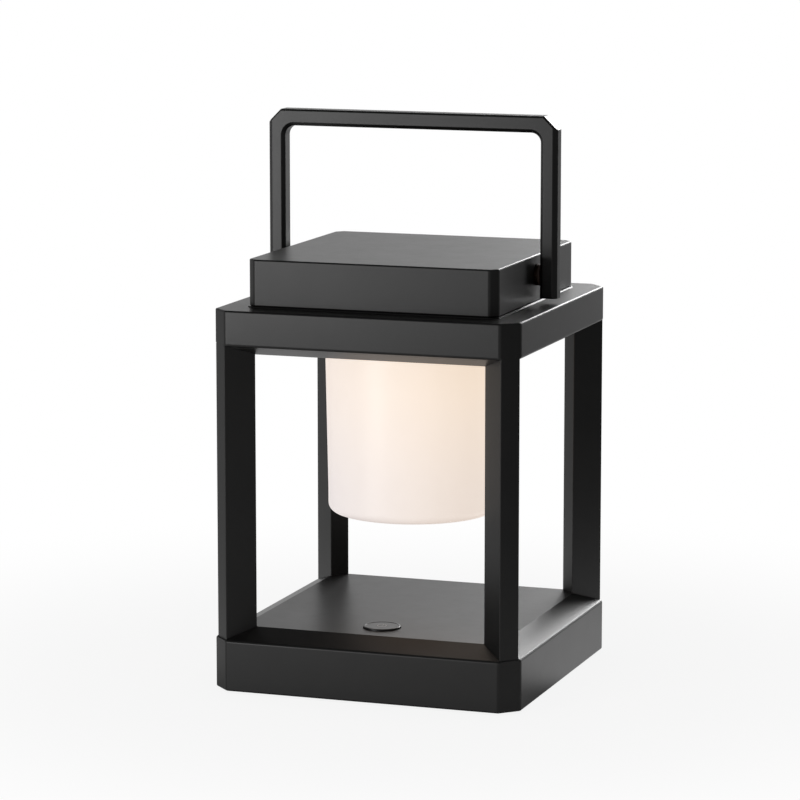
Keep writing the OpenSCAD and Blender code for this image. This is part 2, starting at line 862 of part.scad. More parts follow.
module friction_washers() {
    color("#4a4038") on_both_sides() difference() {
        on_axis(bush_flange_d, bush_face, bush_face + washer_t);
        on_axis(pin_d + 2 * fit, bush_face - 1, bush_face + washer_t + 1);
    }
}

module spring_washers() {
    near = bush_in - spring_t - spring_cone;
    color(metal) on_both_sides() translate([near, 0, z_pivot]) rotate([0, 90, 0]) difference() {
        union() {
            cylinder(d = clip_d, h = spring_t);
            translate([0, 0, spring_t - eps]) cylinder(d1 = clip_d, d2 = clip_d - 2, h = spring_cone + eps);
        }
        translate([0, 0, -1]) cylinder(d = pin_d + 2 * fit, h = spring_t + spring_cone + 2);
    }
}

module retaining_clips() {
    far = bush_in - spring_t - spring_cone - face_gap;
    color(metal) on_both_sides() difference() {
        on_axis(clip_d, far - clip_t, far);
        on_axis(pin_d - 1 + 2 * thread_gap, far - clip_t - 1, far + 1);
        translate([far - clip_t - 1, -0.8, z_pivot - clip_d]) cube([clip_t + 2, 1.6, clip_d]);
    }
}

// ---------- shade and light ----------

// Half of the shade's section, drawn in by an inset, from the foot up to a height
module shade_half(inset, top) {
    foot = z_ceiling - shade_drop + inset;
    round_r = shade_round - inset;
    foot_r = shade_r_foot - inset;
    top_r = shade_r_top - inset;
    translate([0, foot]) square([foot_r - round_r, round_r + eps]);
    intersection() {
        translate([foot_r - round_r, foot + round_r]) circle(r = round_r);
        translate([0, foot]) square([foot_r, round_r + eps]);
    }
    polygon([
        [0, foot + round_r], [foot_r, foot + round_r], [top_r, z_ceiling], [top_r, top], [0, top]
    ]);
}

module shade() {
    top = z_ceiling_in + flange_t_shade;
    color(opal) rotate_extrude($fn = 96) difference() {
        union() {
            shade_half(0, top);
            translate([0, z_ceiling_in]) square([shade_r_top + shade_flange, flange_t_shade]);
        }
        shade_half(shade_wall, top + 1);
    }
}

module light_plate() {
    color(metal) difference() {
        rod(2 * light_plate_r, z_light_plate, z_light_plate + light_plate_t, $fn = 96);
        for (turn = [45:90:315]) rotate(turn) translate([light_screw_at, 0, 0])
            rod(m2_d + 2 * hole_gap, z_light_plate - 1, z_light_plate + light_plate_t + 1);
        translate(lead_entry) rod(lead_bore_d, z_light_plate - 1, z_light_plate + light_plate_t + 1);
    }
}

module light_plate_screws() {
    color(metal) for (turn = [45:90:315]) rotate(turn) translate([light_screw_at, 0, 0])
        screw(m2_d, m2_head_d, m2_head_h, z_light_plate + light_plate_t,
            light_plate_t + flange_t_shade + 0.6, false);
}

module light_board() {
    color("#e8e8e4") rod(2 * light_board_r, z_light_board, z_light_plate, $fn = 64);
}

module light_chips() {
    color("#f2d27a") for (i = [0:chip_count - 1]) rotate(360 * i / chip_count)
        translate([chip_ring - chip_side / 2, -chip_side / 2, z_light_board - chip_h])
            cube([chip_side, chip_side, chip_h]);
}

// ---------- leads ----------

module light_lead() {
    corner = bore_y - 3 * lead_clear;
    color("#e6e6e6") lead([
        [-board_w / 2 + 8, board_mid_y, z_board_run],
        [-board_w / 2 - lead_clear, board_mid_y, z_board_run],
        [-corner, corner, z_board_run],
        [bore_x, bore_y, z_rail - seat_t - lead_clear],
        [bore_x, bore_y, z_roof_run],
        [bore_x, bore_y - roof_run, z_roof_run],
        [lead_entry[0], lead_entry[1], z_roof_run],
        [lead_entry[0], lead_entry[1], z_light_plate + face_gap]
    ]);
}

module battery_lead() {
    side_x = tray_len / 2 + lead_clear;
    end_x = board_w / 4;
    z_strip = z_cell + strip_h / 4;
    color("#b3312c") lead([
        [-cell_len / 2 - strip_t - face_gap, pack_y, z_strip],
        [-side_x, pack_y, z_strip],
        [-side_x, board_front - 1.5, z_strip],
        [-end_x, board_front - 1.5, z_strip],
        [-end_x, board_front + lead_clear, z_board_run]
    ]);
}

module switch_lead() {
    side_x = tray_len / 2 + 2 * lead_clear;
    z_start = z_switch_board - solder_gap;
    color("#8a8d92") lead([
        [switch_board_w / 2 - 6, -button_y + 4, z_start],
        [side_x, -button_y + 8, z_start],
        [side_x, board_front, z_board_run],
        [board_w / 2 - 8, board_mid_y - 3, z_board_run]
    ]);
}

base_housing();
bottom_cover();
cover_screws();
rubber_feet();
battery_tray();
battery_cells();
cell_strips();
battery_foam();
charge_board();
charge_parts();
charge_board_screws();
inlet_shell();
inlet_tongue();
switch_board();
switch_board_screws();
switch_body();
switch_plunger();
button_cap();
post_front_left();
post_front_right();
post_back_right();
post_back_left();
tie_rods();
roof_shell();
ceiling_cover();
ceiling_screws();
cap_block();
cap_screws();
handle();
pivot_pins();
pivot_bushes();
friction_washers();
spring_washers();
retaining_clips();
light_plate();
light_plate_screws();
light_board();
light_chips();
shade();
light_lead();
battery_lead();
switch_lead();
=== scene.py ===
"""The looks of the lantern table lamp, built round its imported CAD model.

Sizes are in millimetres, and the studio's are in metres, in the CAD model's frame: Z up, X along
the handle's crossbar, Y towards the charging inlet, the origin on the plane that the feet rest on.
Places within NEAR of each other are the same, and a tool that cuts through a face runs PAST it.
"""

import json
import logging
import math
from collections.abc import Callable, Iterator
from contextlib import contextmanager
from dataclasses import dataclass, field
from enum import Enum

import bmesh
import bpy
from mathutils import Matrix, Vector


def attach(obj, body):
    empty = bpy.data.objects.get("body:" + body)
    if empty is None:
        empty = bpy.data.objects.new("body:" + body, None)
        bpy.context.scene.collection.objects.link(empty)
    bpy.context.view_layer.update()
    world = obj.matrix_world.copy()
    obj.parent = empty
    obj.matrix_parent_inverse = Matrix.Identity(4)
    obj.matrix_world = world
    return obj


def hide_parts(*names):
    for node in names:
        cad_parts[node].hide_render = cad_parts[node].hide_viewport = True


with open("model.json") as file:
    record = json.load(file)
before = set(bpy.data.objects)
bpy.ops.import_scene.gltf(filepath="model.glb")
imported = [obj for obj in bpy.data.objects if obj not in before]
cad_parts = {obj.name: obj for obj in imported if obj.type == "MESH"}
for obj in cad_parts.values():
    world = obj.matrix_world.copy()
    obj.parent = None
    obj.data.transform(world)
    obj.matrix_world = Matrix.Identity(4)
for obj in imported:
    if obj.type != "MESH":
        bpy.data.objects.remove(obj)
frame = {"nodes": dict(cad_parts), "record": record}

log = logging.getLogger("lantern")
MM = 0.001
ROOT2 = math.sqrt(2)
QUARTERS = (0, 90, 180, 270)
DIAGONALS = (45, 135, 225, 315)
SMOOTH_ANGLE = 32
RIM_ANGLE = 40
NEAR = 0.01
PAST = 1.0
UP = Vector((0, 0, 1))
WHITE = (1, 1, 1, 1)
Point = tuple[float, float, float]
EdgeTest = Callable[[bmesh.types.BMEdge], bool]
FaceTest = Callable[[bmesh.types.BMFace], bool]
Value = "Wire | float"


class Body(Enum):
    """The lamp's moving bodies, by their CAD names."""

    FRAME = "frame"
    BAIL = "bail"
    BUTTON = "button"


class Axis(Enum):
    """The turn that stands a cylinder along an axis, in degrees about X and Y."""

    X = (0, 90)
    Z = (0, 0)


# ---------- shader graphs ----------


class Wire:
    """One socket of a shader graph, on which Python's operators add Math nodes."""

    def __init__(self, graph: "Graph", socket: bpy.types.NodeSocket) -> None:
        """Keeps the graph and the output socket that the wire comes from."""
        self.graph = graph
        self.socket = socket

    def _math(self, operation: str, *values: Value) -> "Wire":
        """Adds one Math node on up to three values."""
        return self.graph.add("ShaderNodeMath", {"operation": operation}, dict(enumerate(values)))

    def __add__(self, other: Value) -> "Wire":
        """The sum."""
        return self._math("ADD", self, other)

    __radd__ = __add__

    def __sub__(self, other: Value) -> "Wire":
        """The difference."""
        return self._math("SUBTRACT", self, other)

    def __rsub__(self, other: Value) -> "Wire":
        """The difference from a plain number."""
        return self._math("SUBTRACT", other, self)

    def __mul__(self, other: Value) -> "Wire":
        """The product."""
        return self._math("MULTIPLY", self, other)

    __rmul__ = __mul__

    def floor(self) -> "Wire":
        """The whole number below."""
        return self._math("FLOOR", self)

    def size(self) -> "Wire":
        """The value without its sign."""
        return self._math("ABSOLUTE", self)

    def least(self, other: Value) -> "Wire":
        """The smaller of two values."""
        return self._math("MINIMUM", self, other)

    def most(self, other: Value) -> "Wire":
        """The larger of two values."""
        return self._math("MAXIMUM", self, other)

    def above(self, edge: float) -> "Wire":
        """1 where the value is over an edge, else 0."""
        return self._math("GREATER_THAN", self, edge)

    def ramp(self, low: float, high: float) -> "Wire":
        """A soft step: 0 at and under `low`, 1 at and over `high`."""
        return self.graph.add(
            "ShaderNodeMapRange",
            {"interpolation_type": "SMOOTHSTEP", "clamp": True},
            {"Value": self, "From Min": low, "From Max": high, "To Min": 0.0, "To Max": 1.0},
        )


class Graph:
    """The node tree of one material or world."""

    def __init__(self, tree: bpy.types.NodeTree) -> None:
        """Empties the tree."""
        self.tree = tree
        tree.nodes.clear()

    def add(
        self,
        kind: str,
        settings: dict[str, object] | None = None,
        sockets: dict[int | str, object] | None = None,
        output: int | str = 0,
    ) -> Wire:
        """Adds one node.

        Args:
            kind: The node's type.
            settings: Its properties, set before its sockets.
            sockets: Values or wires by socket name or number.
            output: The output socket that the returned wire comes from.

        Returns:
            The wire from that output, or from the node itself where it has none.
        """
        node = self.tree.nodes.new(kind)
        for name, value in (settings or {}).items():
            setattr(node, name, value)
        for name, value in (sockets or {}).items():
            socket = node.inputs[name]
            if isinstance(value, Wire):
                self.tree.links.new(value.socket, socket)
            else:
                socket.default_value = value
        return Wire(self, node.outputs[output] if len(node.outputs) else None)

    def place(self, stretch: Point = (1, 1, 1)) -> Wire:
        """The point on the surface, in the object's frame, in metres, stretched along its axes."""
        coords = self.add("ShaderNodeTexCoord", output="Object")
        return self.add("ShaderNodeMapping", sockets={"Vector": coords, "Scale": stretch})

    def part(self, vector: Wire, axis: str) -> Wire:
        """One coordinate of a vector."""
        return self.add("ShaderNodeSeparateXYZ", sockets={"Vector": vector}, output=axis)

    def facing(self) -> Wire:
        """How far the surface faces up, from -1 to 1."""
        return self.part(self.add("ShaderNodeNewGeometry", output="Normal"), "Z")

    def ray(self, kind: str) -> Wire:
        """1 on one kind of ray, such as Camera, and 0 on the others."""
        return self.add("ShaderNodeLightPath", output=f"Is {kind} Ray")

    def noise(
        self, grain: float, detail: float = 2, roughness: float = 0.5, stretch: Point = (1, 1, 1)
    ) -> Wire:
        """Soft noise about 0.5.

        Args:
            grain: The size of its lumps, in millimetres.
            detail: How many finer layers it has.
            roughness: How strong those are.
            stretch: How much finer it is along each axis.

        Returns:
            The noise's value.
        """
        sockets = {
            "Vector": self.place(stretch),
            "Scale": 1 / (grain * MM),
            "Detail": detail,
            "Roughness": roughness,
        }
        return self.add("ShaderNodeTexNoise", sockets=sockets)

    def cells(self, grain: float) -> Wire:
        """The distance to the nearest of scattered points that lie about `grain` apart."""
        sockets = {"Vector": self.place(), "Scale": 1 / (grain * MM)}
        return self.add("ShaderNodeTexVoronoi", sockets=sockets, output="Distance")

    def blend(self, share: Value, first: object, second: object) -> Wire:
        """One colour turning into another.

        Args:
            share: How much of the second colour there is, from 0 to 1.
            first: A colour or its wire.
            second: The other colour or its wire.

        Returns:
            The mixed colour.
        """
        colours = [c if isinstance(c, Wire) else (*c, 1) for c in (first, second)]
        return self.add(
            "ShaderNodeMix",
            {"data_type": "RGBA", "clamp_factor": True},
            {0: share, 6: colours[0], 7: colours[1]},
            2,
        )

    def bump(self, height: Wire, depth: float) -> Wire:
        """A bumped normal, `depth` millimetres deep."""
        return self.add("ShaderNodeBump", sockets={"Height": height, "Distance": depth * MM})

    def surface(
        self, colour: Wire, roughness: Value, normal: Wire, others: dict[str, object] | None = None
    ) -> None:
        """Ends the graph in a Principled shader.

        Args:
            colour: Its base colour.
            roughness: Its roughness.
            normal: Its bumped normal.
            others: Its other sockets, by name.
        """
        sockets = {"Base Color": colour, "Roughness": roughness, "Normal": normal} | (others or {})
        shader = self.add("ShaderNodeBsdfPrincipled", sockets=sockets)
        self.add("ShaderNodeOutputMaterial", sockets={"Surface": shader})


# ---------- finishes ----------


@dataclass(frozen=True)
class Finish:
    """A finish that paints one material."""

    name: str

    def material(self) -> bpy.types.Material:
        """The finish's material, made the first time that it is asked for."""
        made = bpy.data.materials.get(self.name)
        if made is None:
            made = bpy.data.materials.new(self.name)
            made.use_nodes = True
            self.paint(Graph(made.node_tree))
        return made

    def paint(self, graph: Graph) -> None:
        """Builds the finish's nodes."""
        raise NotImplementedError


@dataclass(frozen=True)
class SatinCoat(Finish):
    """Satin black powder coat: fine orange peel, faint cloudiness and a little dust on top."""

    colour: Point = (0.0046, 0.0045, 0.0045)
    cloud: Point = (0.0058, 0.0056, 0.0055)
    dust: Point = (0.016, 0.0145, 0.013)
    dusty: float = 0.15
    sheen: float = 0.38
    peel: float = 0.006
    worn: float = 0.0
    bare: Point = (0.03, 0.029, 0.028)

    def paint(self, graph: Graph) -> None:
        """Builds the coat from three grains of noise."""
        clouds = graph.noise(14, 3, 0.6)
        grains = graph.noise(0.35, 1)
        colour = graph.blend(clouds.ramp(0.35, 0.7), self.colour, self.cloud)
        colour = graph.blend(graph.cells(0.5).ramp(0.16, 0.05) * 0.15, colour, self.bare)
        settled = graph.facing().ramp(0.6, 0.98) * graph.noise(5, 4, 0.65).ramp(0.42, 0.7)
        colour = graph.blend(settled * self.dusty, colour, self.dust)
        rub = graph.noise(2.2, 3, 0.6).ramp(0.45, 0.62) * self.worn
        colour = graph.blend(rub, colour, self.bare)
        sheen = self.sheen + (graph.noise(16, 3) - 0.5) * 0.04 + (grains - 0.5) * 0.04
        peel = graph.noise(0.9, 1) * 0.65 + grains * 0.35
        roughness = sheen + settled * 0.015 - rub * 0.08
        graph.surface(colour, roughness, graph.bump(peel, self.peel), {"IOR": 1.5})


@dataclass(frozen=True)
class OpalShade(Finish):
    """Satin opal plastic, lit from the light board at its top, with painted light that warms and brightens
    its right side.
    """

    colour: Point = (0.56, 0.55, 0.54)
    warm: Point = (1.0, 0.8, 0.62)
    cool: Point = (0.66, 0.59, 0.58)
    under: Point = (0.5, 0.3, 0.16)
    haze: Point = (0.82, 0.7, 0.6)
    pale: Point = (0.58, 0.57, 0.56)
    glow: float = 0.76
    foot: float = 73.6
    top: float = 149.8

    def paint(self, graph: Graph) -> None:
        """Builds the glow, warmer towards the light board and, as painted light, warmer and brighter on the
        right side, over a faintly clouded skin.
        """
        height = graph.part(graph.place(), "Z").ramp(self.foot * MM, self.top * MM)
        # Painted light: the glow is painted warmer and brighter towards the right side (+X), standing in for
        # the light that falls on that side.
        across = graph.part(graph.place(), "X").ramp(-0.04, 0.04)
        tint = graph.blend(height * 0.5 + across * 0.5, self.cool, self.warm)
        cloud = graph.noise(18, 3, 0.55)
        tint = graph.blend(cloud.ramp(0.3, 0.8) * 0.1, tint, self.haze)
        tint = graph.blend((graph.facing() * -1).ramp(0.9, 0.99), tint, self.under)
        skin = graph.blend(graph.noise(7, 2).ramp(0.3, 0.7), self.colour, self.pale)
        roughness = 0.34 + (graph.noise(3, 3) - 0.5) * 0.08
        others = {"Emission Color": tint, "Emission Strength": self.glow, "IOR": 1.49}
        graph.surface(skin, roughness, graph.bump(graph.noise(0.7, 2), 0.008), others)


@dataclass(frozen=True)
class Moulded(Finish):
    """Moulded plastic or rubber with a spark-eroded grain."""

    colour: Point = (0.02, 0.02, 0.021)
    light: Point = (0.032, 0.032, 0.033)
    sheen: float = 0.55
    grain: float = 0.45
    depth: float = 0.03
    gloss: float = 0.5

    def paint(self, graph: Graph) -> None:
        """Builds the grain from scattered pits over soft noise."""
        pits = graph.cells(self.grain)
        clouds = graph.noise(11, 3, 0.6)
        colour = graph.blend(clouds.ramp(0.3, 0.75), self.colour, self.light)
        scuffs = graph.noise(3, 4, 0.7, (1, 7, 1)).ramp(0.66, 0.8)
        colour = graph.blend(scuffs * 0.35, colour, [c * 1.9 + 0.01 for c in self.light])
        roughness = self.sheen + (clouds - 0.5) * 0.15 + scuffs * 0.08
        normal = graph.bump(pits + graph.noise(self.grain * 3, 2) * 0.6, self.depth)
        graph.surface(colour, roughness, normal, {"Specular IOR Level": self.gloss})


@dataclass(frozen=True)
class Metal(Finish):
    """Bare, plated or blackened metal with turning or rolling marks."""

    colour: Point = (0.56, 0.57, 0.58)
    stain: Point = (0.42, 0.42, 0.42)
    sheen: float = 0.28
    marks: Point = (1, 1, 12)
    metallic: float = 1.0

    def paint(self, graph: Graph) -> None:
        """Builds the stains, the fine marks and the uneven polish."""
        stains = graph.noise(4, 4, 0.65).ramp(0.4, 0.72)
        lines = graph.noise(1.6, 3, 0.7, self.marks)
        colour = graph.blend(stains * 0.6, self.colour, self.stain)
        roughness = self.sheen + stains * 0.14 + (lines - 0.5) * 0.16
        graph.surface(colour, roughness, graph.bump(lines, 0.008), {"Metallic": self.metallic})


@dataclass(frozen=True)
class CircuitBoard(Finish):
    """Solder mask over copper runs, with plated pads."""

    mask: Point = (0.012, 0.13, 0.05)
    copper: Point = (0.03, 0.22, 0.085)
    pads: Point = (0.6, 0.58, 0.5)
    pitch: float = 1.27

    def paint(self, graph: Graph) -> None:
        """Builds the runs on a grid and the pads on scattered points."""
        place, lanes = graph.place(), 1 / (self.pitch * MM)
        drift = graph.noise(9, 0).ramp(0.45, 0.55) * 0.5
        lane = (graph.part(place, "X") * lanes + drift).floor()
        cross = (graph.part(place, "Y") * lanes).floor()
        joined = graph.add(
            "ShaderNodeTexWhiteNoise",
            {"noise_dimensions": "2D"},
            {"Vector": graph.add("ShaderNodeCombineXYZ", sockets={"X": lane, "Y": cross * 0.25})},
        )
        runs = joined.above(0.55)
        pads = graph.cells(2.6).ramp(0.2, 0.16)
        colour = graph.blend(pads, graph.blend(runs, self.mask, self.copper), self.pads)
        roughness = 0.34 + graph.noise(2, 3) * 0.12
        graph.surface(colour, roughness, graph.bump(runs + pads, 0.03), {"Metallic": pads * 0.9})


@dataclass(frozen=True)
class ShrinkWrap(Finish):
    """Glossy shrink wrap with faint creases round each cell."""

    colour: Point = (0.03, 0.14, 0.36)
    crease: Point = (0.06, 0.22, 0.48)

    def paint(self, graph: Graph) -> None:
        """Builds the creases along the cells."""
        creases = graph.noise(2.4, 4, 0.6, (0.25, 3, 3))
        colour = graph.blend(creases.ramp(0.5, 0.75), self.colour, self.crease)
        graph.surface(colour, 0.22 + creases * 0.16, graph.bump(creases, 0.06))


@dataclass(frozen=True)
class Foam(Finish):
    """Closed-cell foam."""

    colour: Point = (0.035, 0.035, 0.036)
    pore: Point = (0.012, 0.012, 0.012)

    def paint(self, graph: Graph) -> None:
        """Builds the pores from cells of two sizes."""
        pores = graph.cells(0.9).least(graph.cells(0.5) + 0.15)
        colour = graph.blend(pores.ramp(0.1, 0.45), self.pore, self.colour)
        graph.surface(colour, 0.9 - pores * 0.1, graph.bump(pores, 0.25))


@dataclass(frozen=True)
class Phosphor(Finish):
    """The yellow gel over a light chip, with its lit middle."""

    colour: Point = (0.85, 0.6, 0.16)
    light: Point = (0.95, 0.74, 0.3)
    warm: Point = (1.0, 0.78, 0.45)
    pale: Point = (1.0, 0.86, 0.6)
    glow: float = 1.2

    def paint(self, graph: Graph) -> None:
        """Builds the grainy gel and its glow."""
        grains = graph.noise(0.25, 3, 0.6)
        tint = graph.blend(grains.ramp(0.3, 0.7), self.colour, self.light)
        glow = graph.blend(grains, self.warm, self.pale)
        others = {"Emission Color": glow, "Emission Strength": self.glow}
        graph.surface(tint, 0.3 + grains * 0.2, graph.bump(grains, 0.03), others)


@dataclass(frozen=True)
class LeadSheath(Finish):
    """A lead's soft sheath, with fine rings from extrusion and a few scuffs."""

    colour: Point = (0.5, 0.5, 0.49)

    def paint(self, graph: Graph) -> None:
        """Builds the scuffs and the fine surface."""
        fine = graph.noise(0.6, 3, 0.6)
        scuffs = graph.noise(4, 4, 0.7).ramp(0.6, 0.75)
        colour = graph.blend(scuffs * 0.4, self.colour, [c * 0.55 for c in self.colour])
        graph.surface(colour, 0.5 + (fine - 0.5) * 0.2 + scuffs * 0.1, graph.bump(fine, 0.02))


@dataclass(frozen=True)
class StudioPaper(Finish):
    """White paper that keeps the lamp's shadow and glares behind the lamp."""

    low: Point = (0.8, 0.8, 0.8)
    high: Point = (0.82, 0.82, 0.815)
    bright: float = 0.88
    shine: float = 0.95
    spill: float = 0.3

    def paint(self, graph: Graph) -> None:
        """Lays what the camera and the reflections see over the plain paper."""
        pale = graph.blend(graph.noise(1.5, 3), self.low, self.high)
        paper = graph.add("ShaderNodeBsdfDiffuse", sockets={"Color": pale})
        white = graph.add("ShaderNodeEmission", sockets={"Color": WHITE, "Strength": 1.0})
        place = graph.place()
        away = graph.add("ShaderNodeVectorMath", {"operation": "LENGTH"}, {0: place}, "Value")
        far = away.ramp(0.12, 0.38)
        clear = far * (1 - self.bright) + self.bright
        x = graph.part(place, "X")
        beyond = (graph.part(place, "Y") + x * 0.3 - x.size() * 0.4).ramp(-0.035, 0.01)
        left = (x * -1).ramp(0.08, 0.14) * (1 - far) * self.spill
        glare = (beyond * (1 - far * 0.4) * self.shine).most(left)
        seen = graph.ray("Camera").most(graph.ray("Transmission"))
        share = seen * clear + graph.ray("Glossy") * glare
        lit = graph.add("ShaderNodeMixShader", sockets={0: share, 1: paper, 2: white})
        graph.add("ShaderNodeOutputMaterial", sockets={"Surface": lit})


@dataclass(frozen=True)
class StudioCard(Finish):
    """A card with a faint, even glow."""

    glow: float = 0.12

    def paint(self, graph: Graph) -> None:
        """Builds the glow."""
        dim = graph.add("ShaderNodeEmission", sockets={"Color": WHITE, "Strength": self.glow})
        graph.add("ShaderNodeOutputMaterial", sockets={"Surface": dim})


COAT = SatinCoat("satin_black_coat")
COAT_EDGE = SatinCoat("satin_black_coat_edges", sheen=0.29, worn=0.3, dusty=0.05)
BUTTON_COAT = SatinCoat("button_coat", colour=(0.007, 0.007, 0.007), sheen=0.36, dusty=0.15)
BUTTON_EDGE = Metal("button_rim", colour=(0.3, 0.3, 0.31), stain=(0.16, 0.16, 0.16), sheen=0.3)
BUTTON_MARK = Moulded(
    "button_mark", colour=(0.42, 0.41, 0.4), light=(0.5, 0.49, 0.47), grain=0.2, depth=0.01
)
OPAL = OpalShade("opal_diffuser")

SLOT_FINISHES: dict[str, Finish] = {
    "black_coat": COAT,
    "button_coat": BUTTON_COAT,
    "black_plastic": Moulded("black_moulded_plastic"),
    "grey_plastic": Moulded("grey_moulded_plastic", colour=(0.05, 0.054, 0.058), light=(0.07, 0.075, 0.08)),
    "black_rubber": Moulded(
        "black_rubber", colour=(0.012, 0.012, 0.012), light=(0.022, 0.021, 0.02), sheen=0.75, gloss=0.3
    ),
    "steel": Metal("zinc_plated_steel"),
    "black_screw": Metal(
        "black_oxide_steel", colour=(0.022, 0.022, 0.024), stain=(0.05, 0.045, 0.04), sheen=0.36, metallic=0.7
    ),
    "nickel": Metal("nickel_strip", colour=(0.6, 0.57, 0.52), stain=(0.45, 0.42, 0.36), marks=(1, 14, 1)),
    "bronze": Metal(
        "oil_blackened_bronze", colour=(0.05, 0.032, 0.022), stain=(0.022, 0.013, 0.012), sheen=0.42
    ),
    "brass_plunger": Moulded("brass_plunger", colour=(0.45, 0.3, 0.07), light=(0.55, 0.4, 0.12), sheen=0.3),
    "brown_fibre": Moulded(
        "pressed_fibre", colour=(0.022, 0.012, 0.009), light=(0.045, 0.026, 0.018), sheen=0.7, grain=0.7
    ),
    "bare_aluminium": Metal(
        "turned_aluminium", colour=(0.78, 0.79, 0.8), stain=(0.62, 0.63, 0.64), marks=(9, 9, 1)
    ),
    "circuit_green": CircuitBoard("green_solder_mask"),
    "circuit_white": CircuitBoard("white_solder_mask", mask=(0.75, 0.75, 0.72), copper=(0.82, 0.82, 0.79)),
    "chip_yellow": Phosphor("phosphor_gel"),
    "opal": OPAL,
    "cell_wrap": ShrinkWrap("cell_wrap"),
    "grey_foam": Foam("closed_cell_foam"),
    "lead_white": LeadSheath("white_lead", colour=(0.6, 0.6, 0.58)),
    "lead_red": LeadSheath("red_lead", colour=(0.36, 0.02, 0.016)),
    "lead_grey": LeadSheath("grey_lead", colour=(0.2, 0.21, 0.22)),
}
RUBBED_FINISHES: dict[str, Finish] = {"black_coat": COAT_EDGE, "button_coat": BUTTON_EDGE}


# ---------- modelling by hand ----------


def radial(turn: float) -> Vector:
    """The level direction that is turned from +X by an angle in degrees."""
    return Vector((math.cos(math.radians(turn)), math.sin(math.radians(turn)), 0))


def middle(part: bmesh.types.BMEdge | bmesh.types.BMFace) -> Vector:
    """The middle of an edge's or face's corners, in millimetres."""
    return sum((v.co for v in part.verts), Vector()) / len(part.verts) / MM


def is_sharp(edge: bmesh.types.BMEdge, angle: float = 15) -> bool:
    """True where an edge's two faces meet at more than an angle in degrees."""
    return len(edge.link_faces) == 2 and edge.calc_face_angle() > math.radians(angle)


def is_rim(edge: bmesh.types.BMEdge) -> bool:
    """True on an edge that turns far enough to be rounded."""
    return is_sharp(edge, RIM_ANGLE)


def runs_along(edge: bmesh.types.BMEdge, axis: str) -> bool:
    """True on an edge whose ends lie apart along an axis."""
    return abs(getattr(edge.verts[0].co - edge.verts[1].co, axis)) > NEAR * MM


def select_none() -> None:
    """Deselects every object."""
    for obj in bpy.context.selected_objects:
        obj.select_set(False)


def keep_only(obj: bpy.types.Object) -> None:
    """Leaves one object selected and active."""
    select_none()
    bpy.context.view_layer.objects.active = obj
    obj.select_set(True)


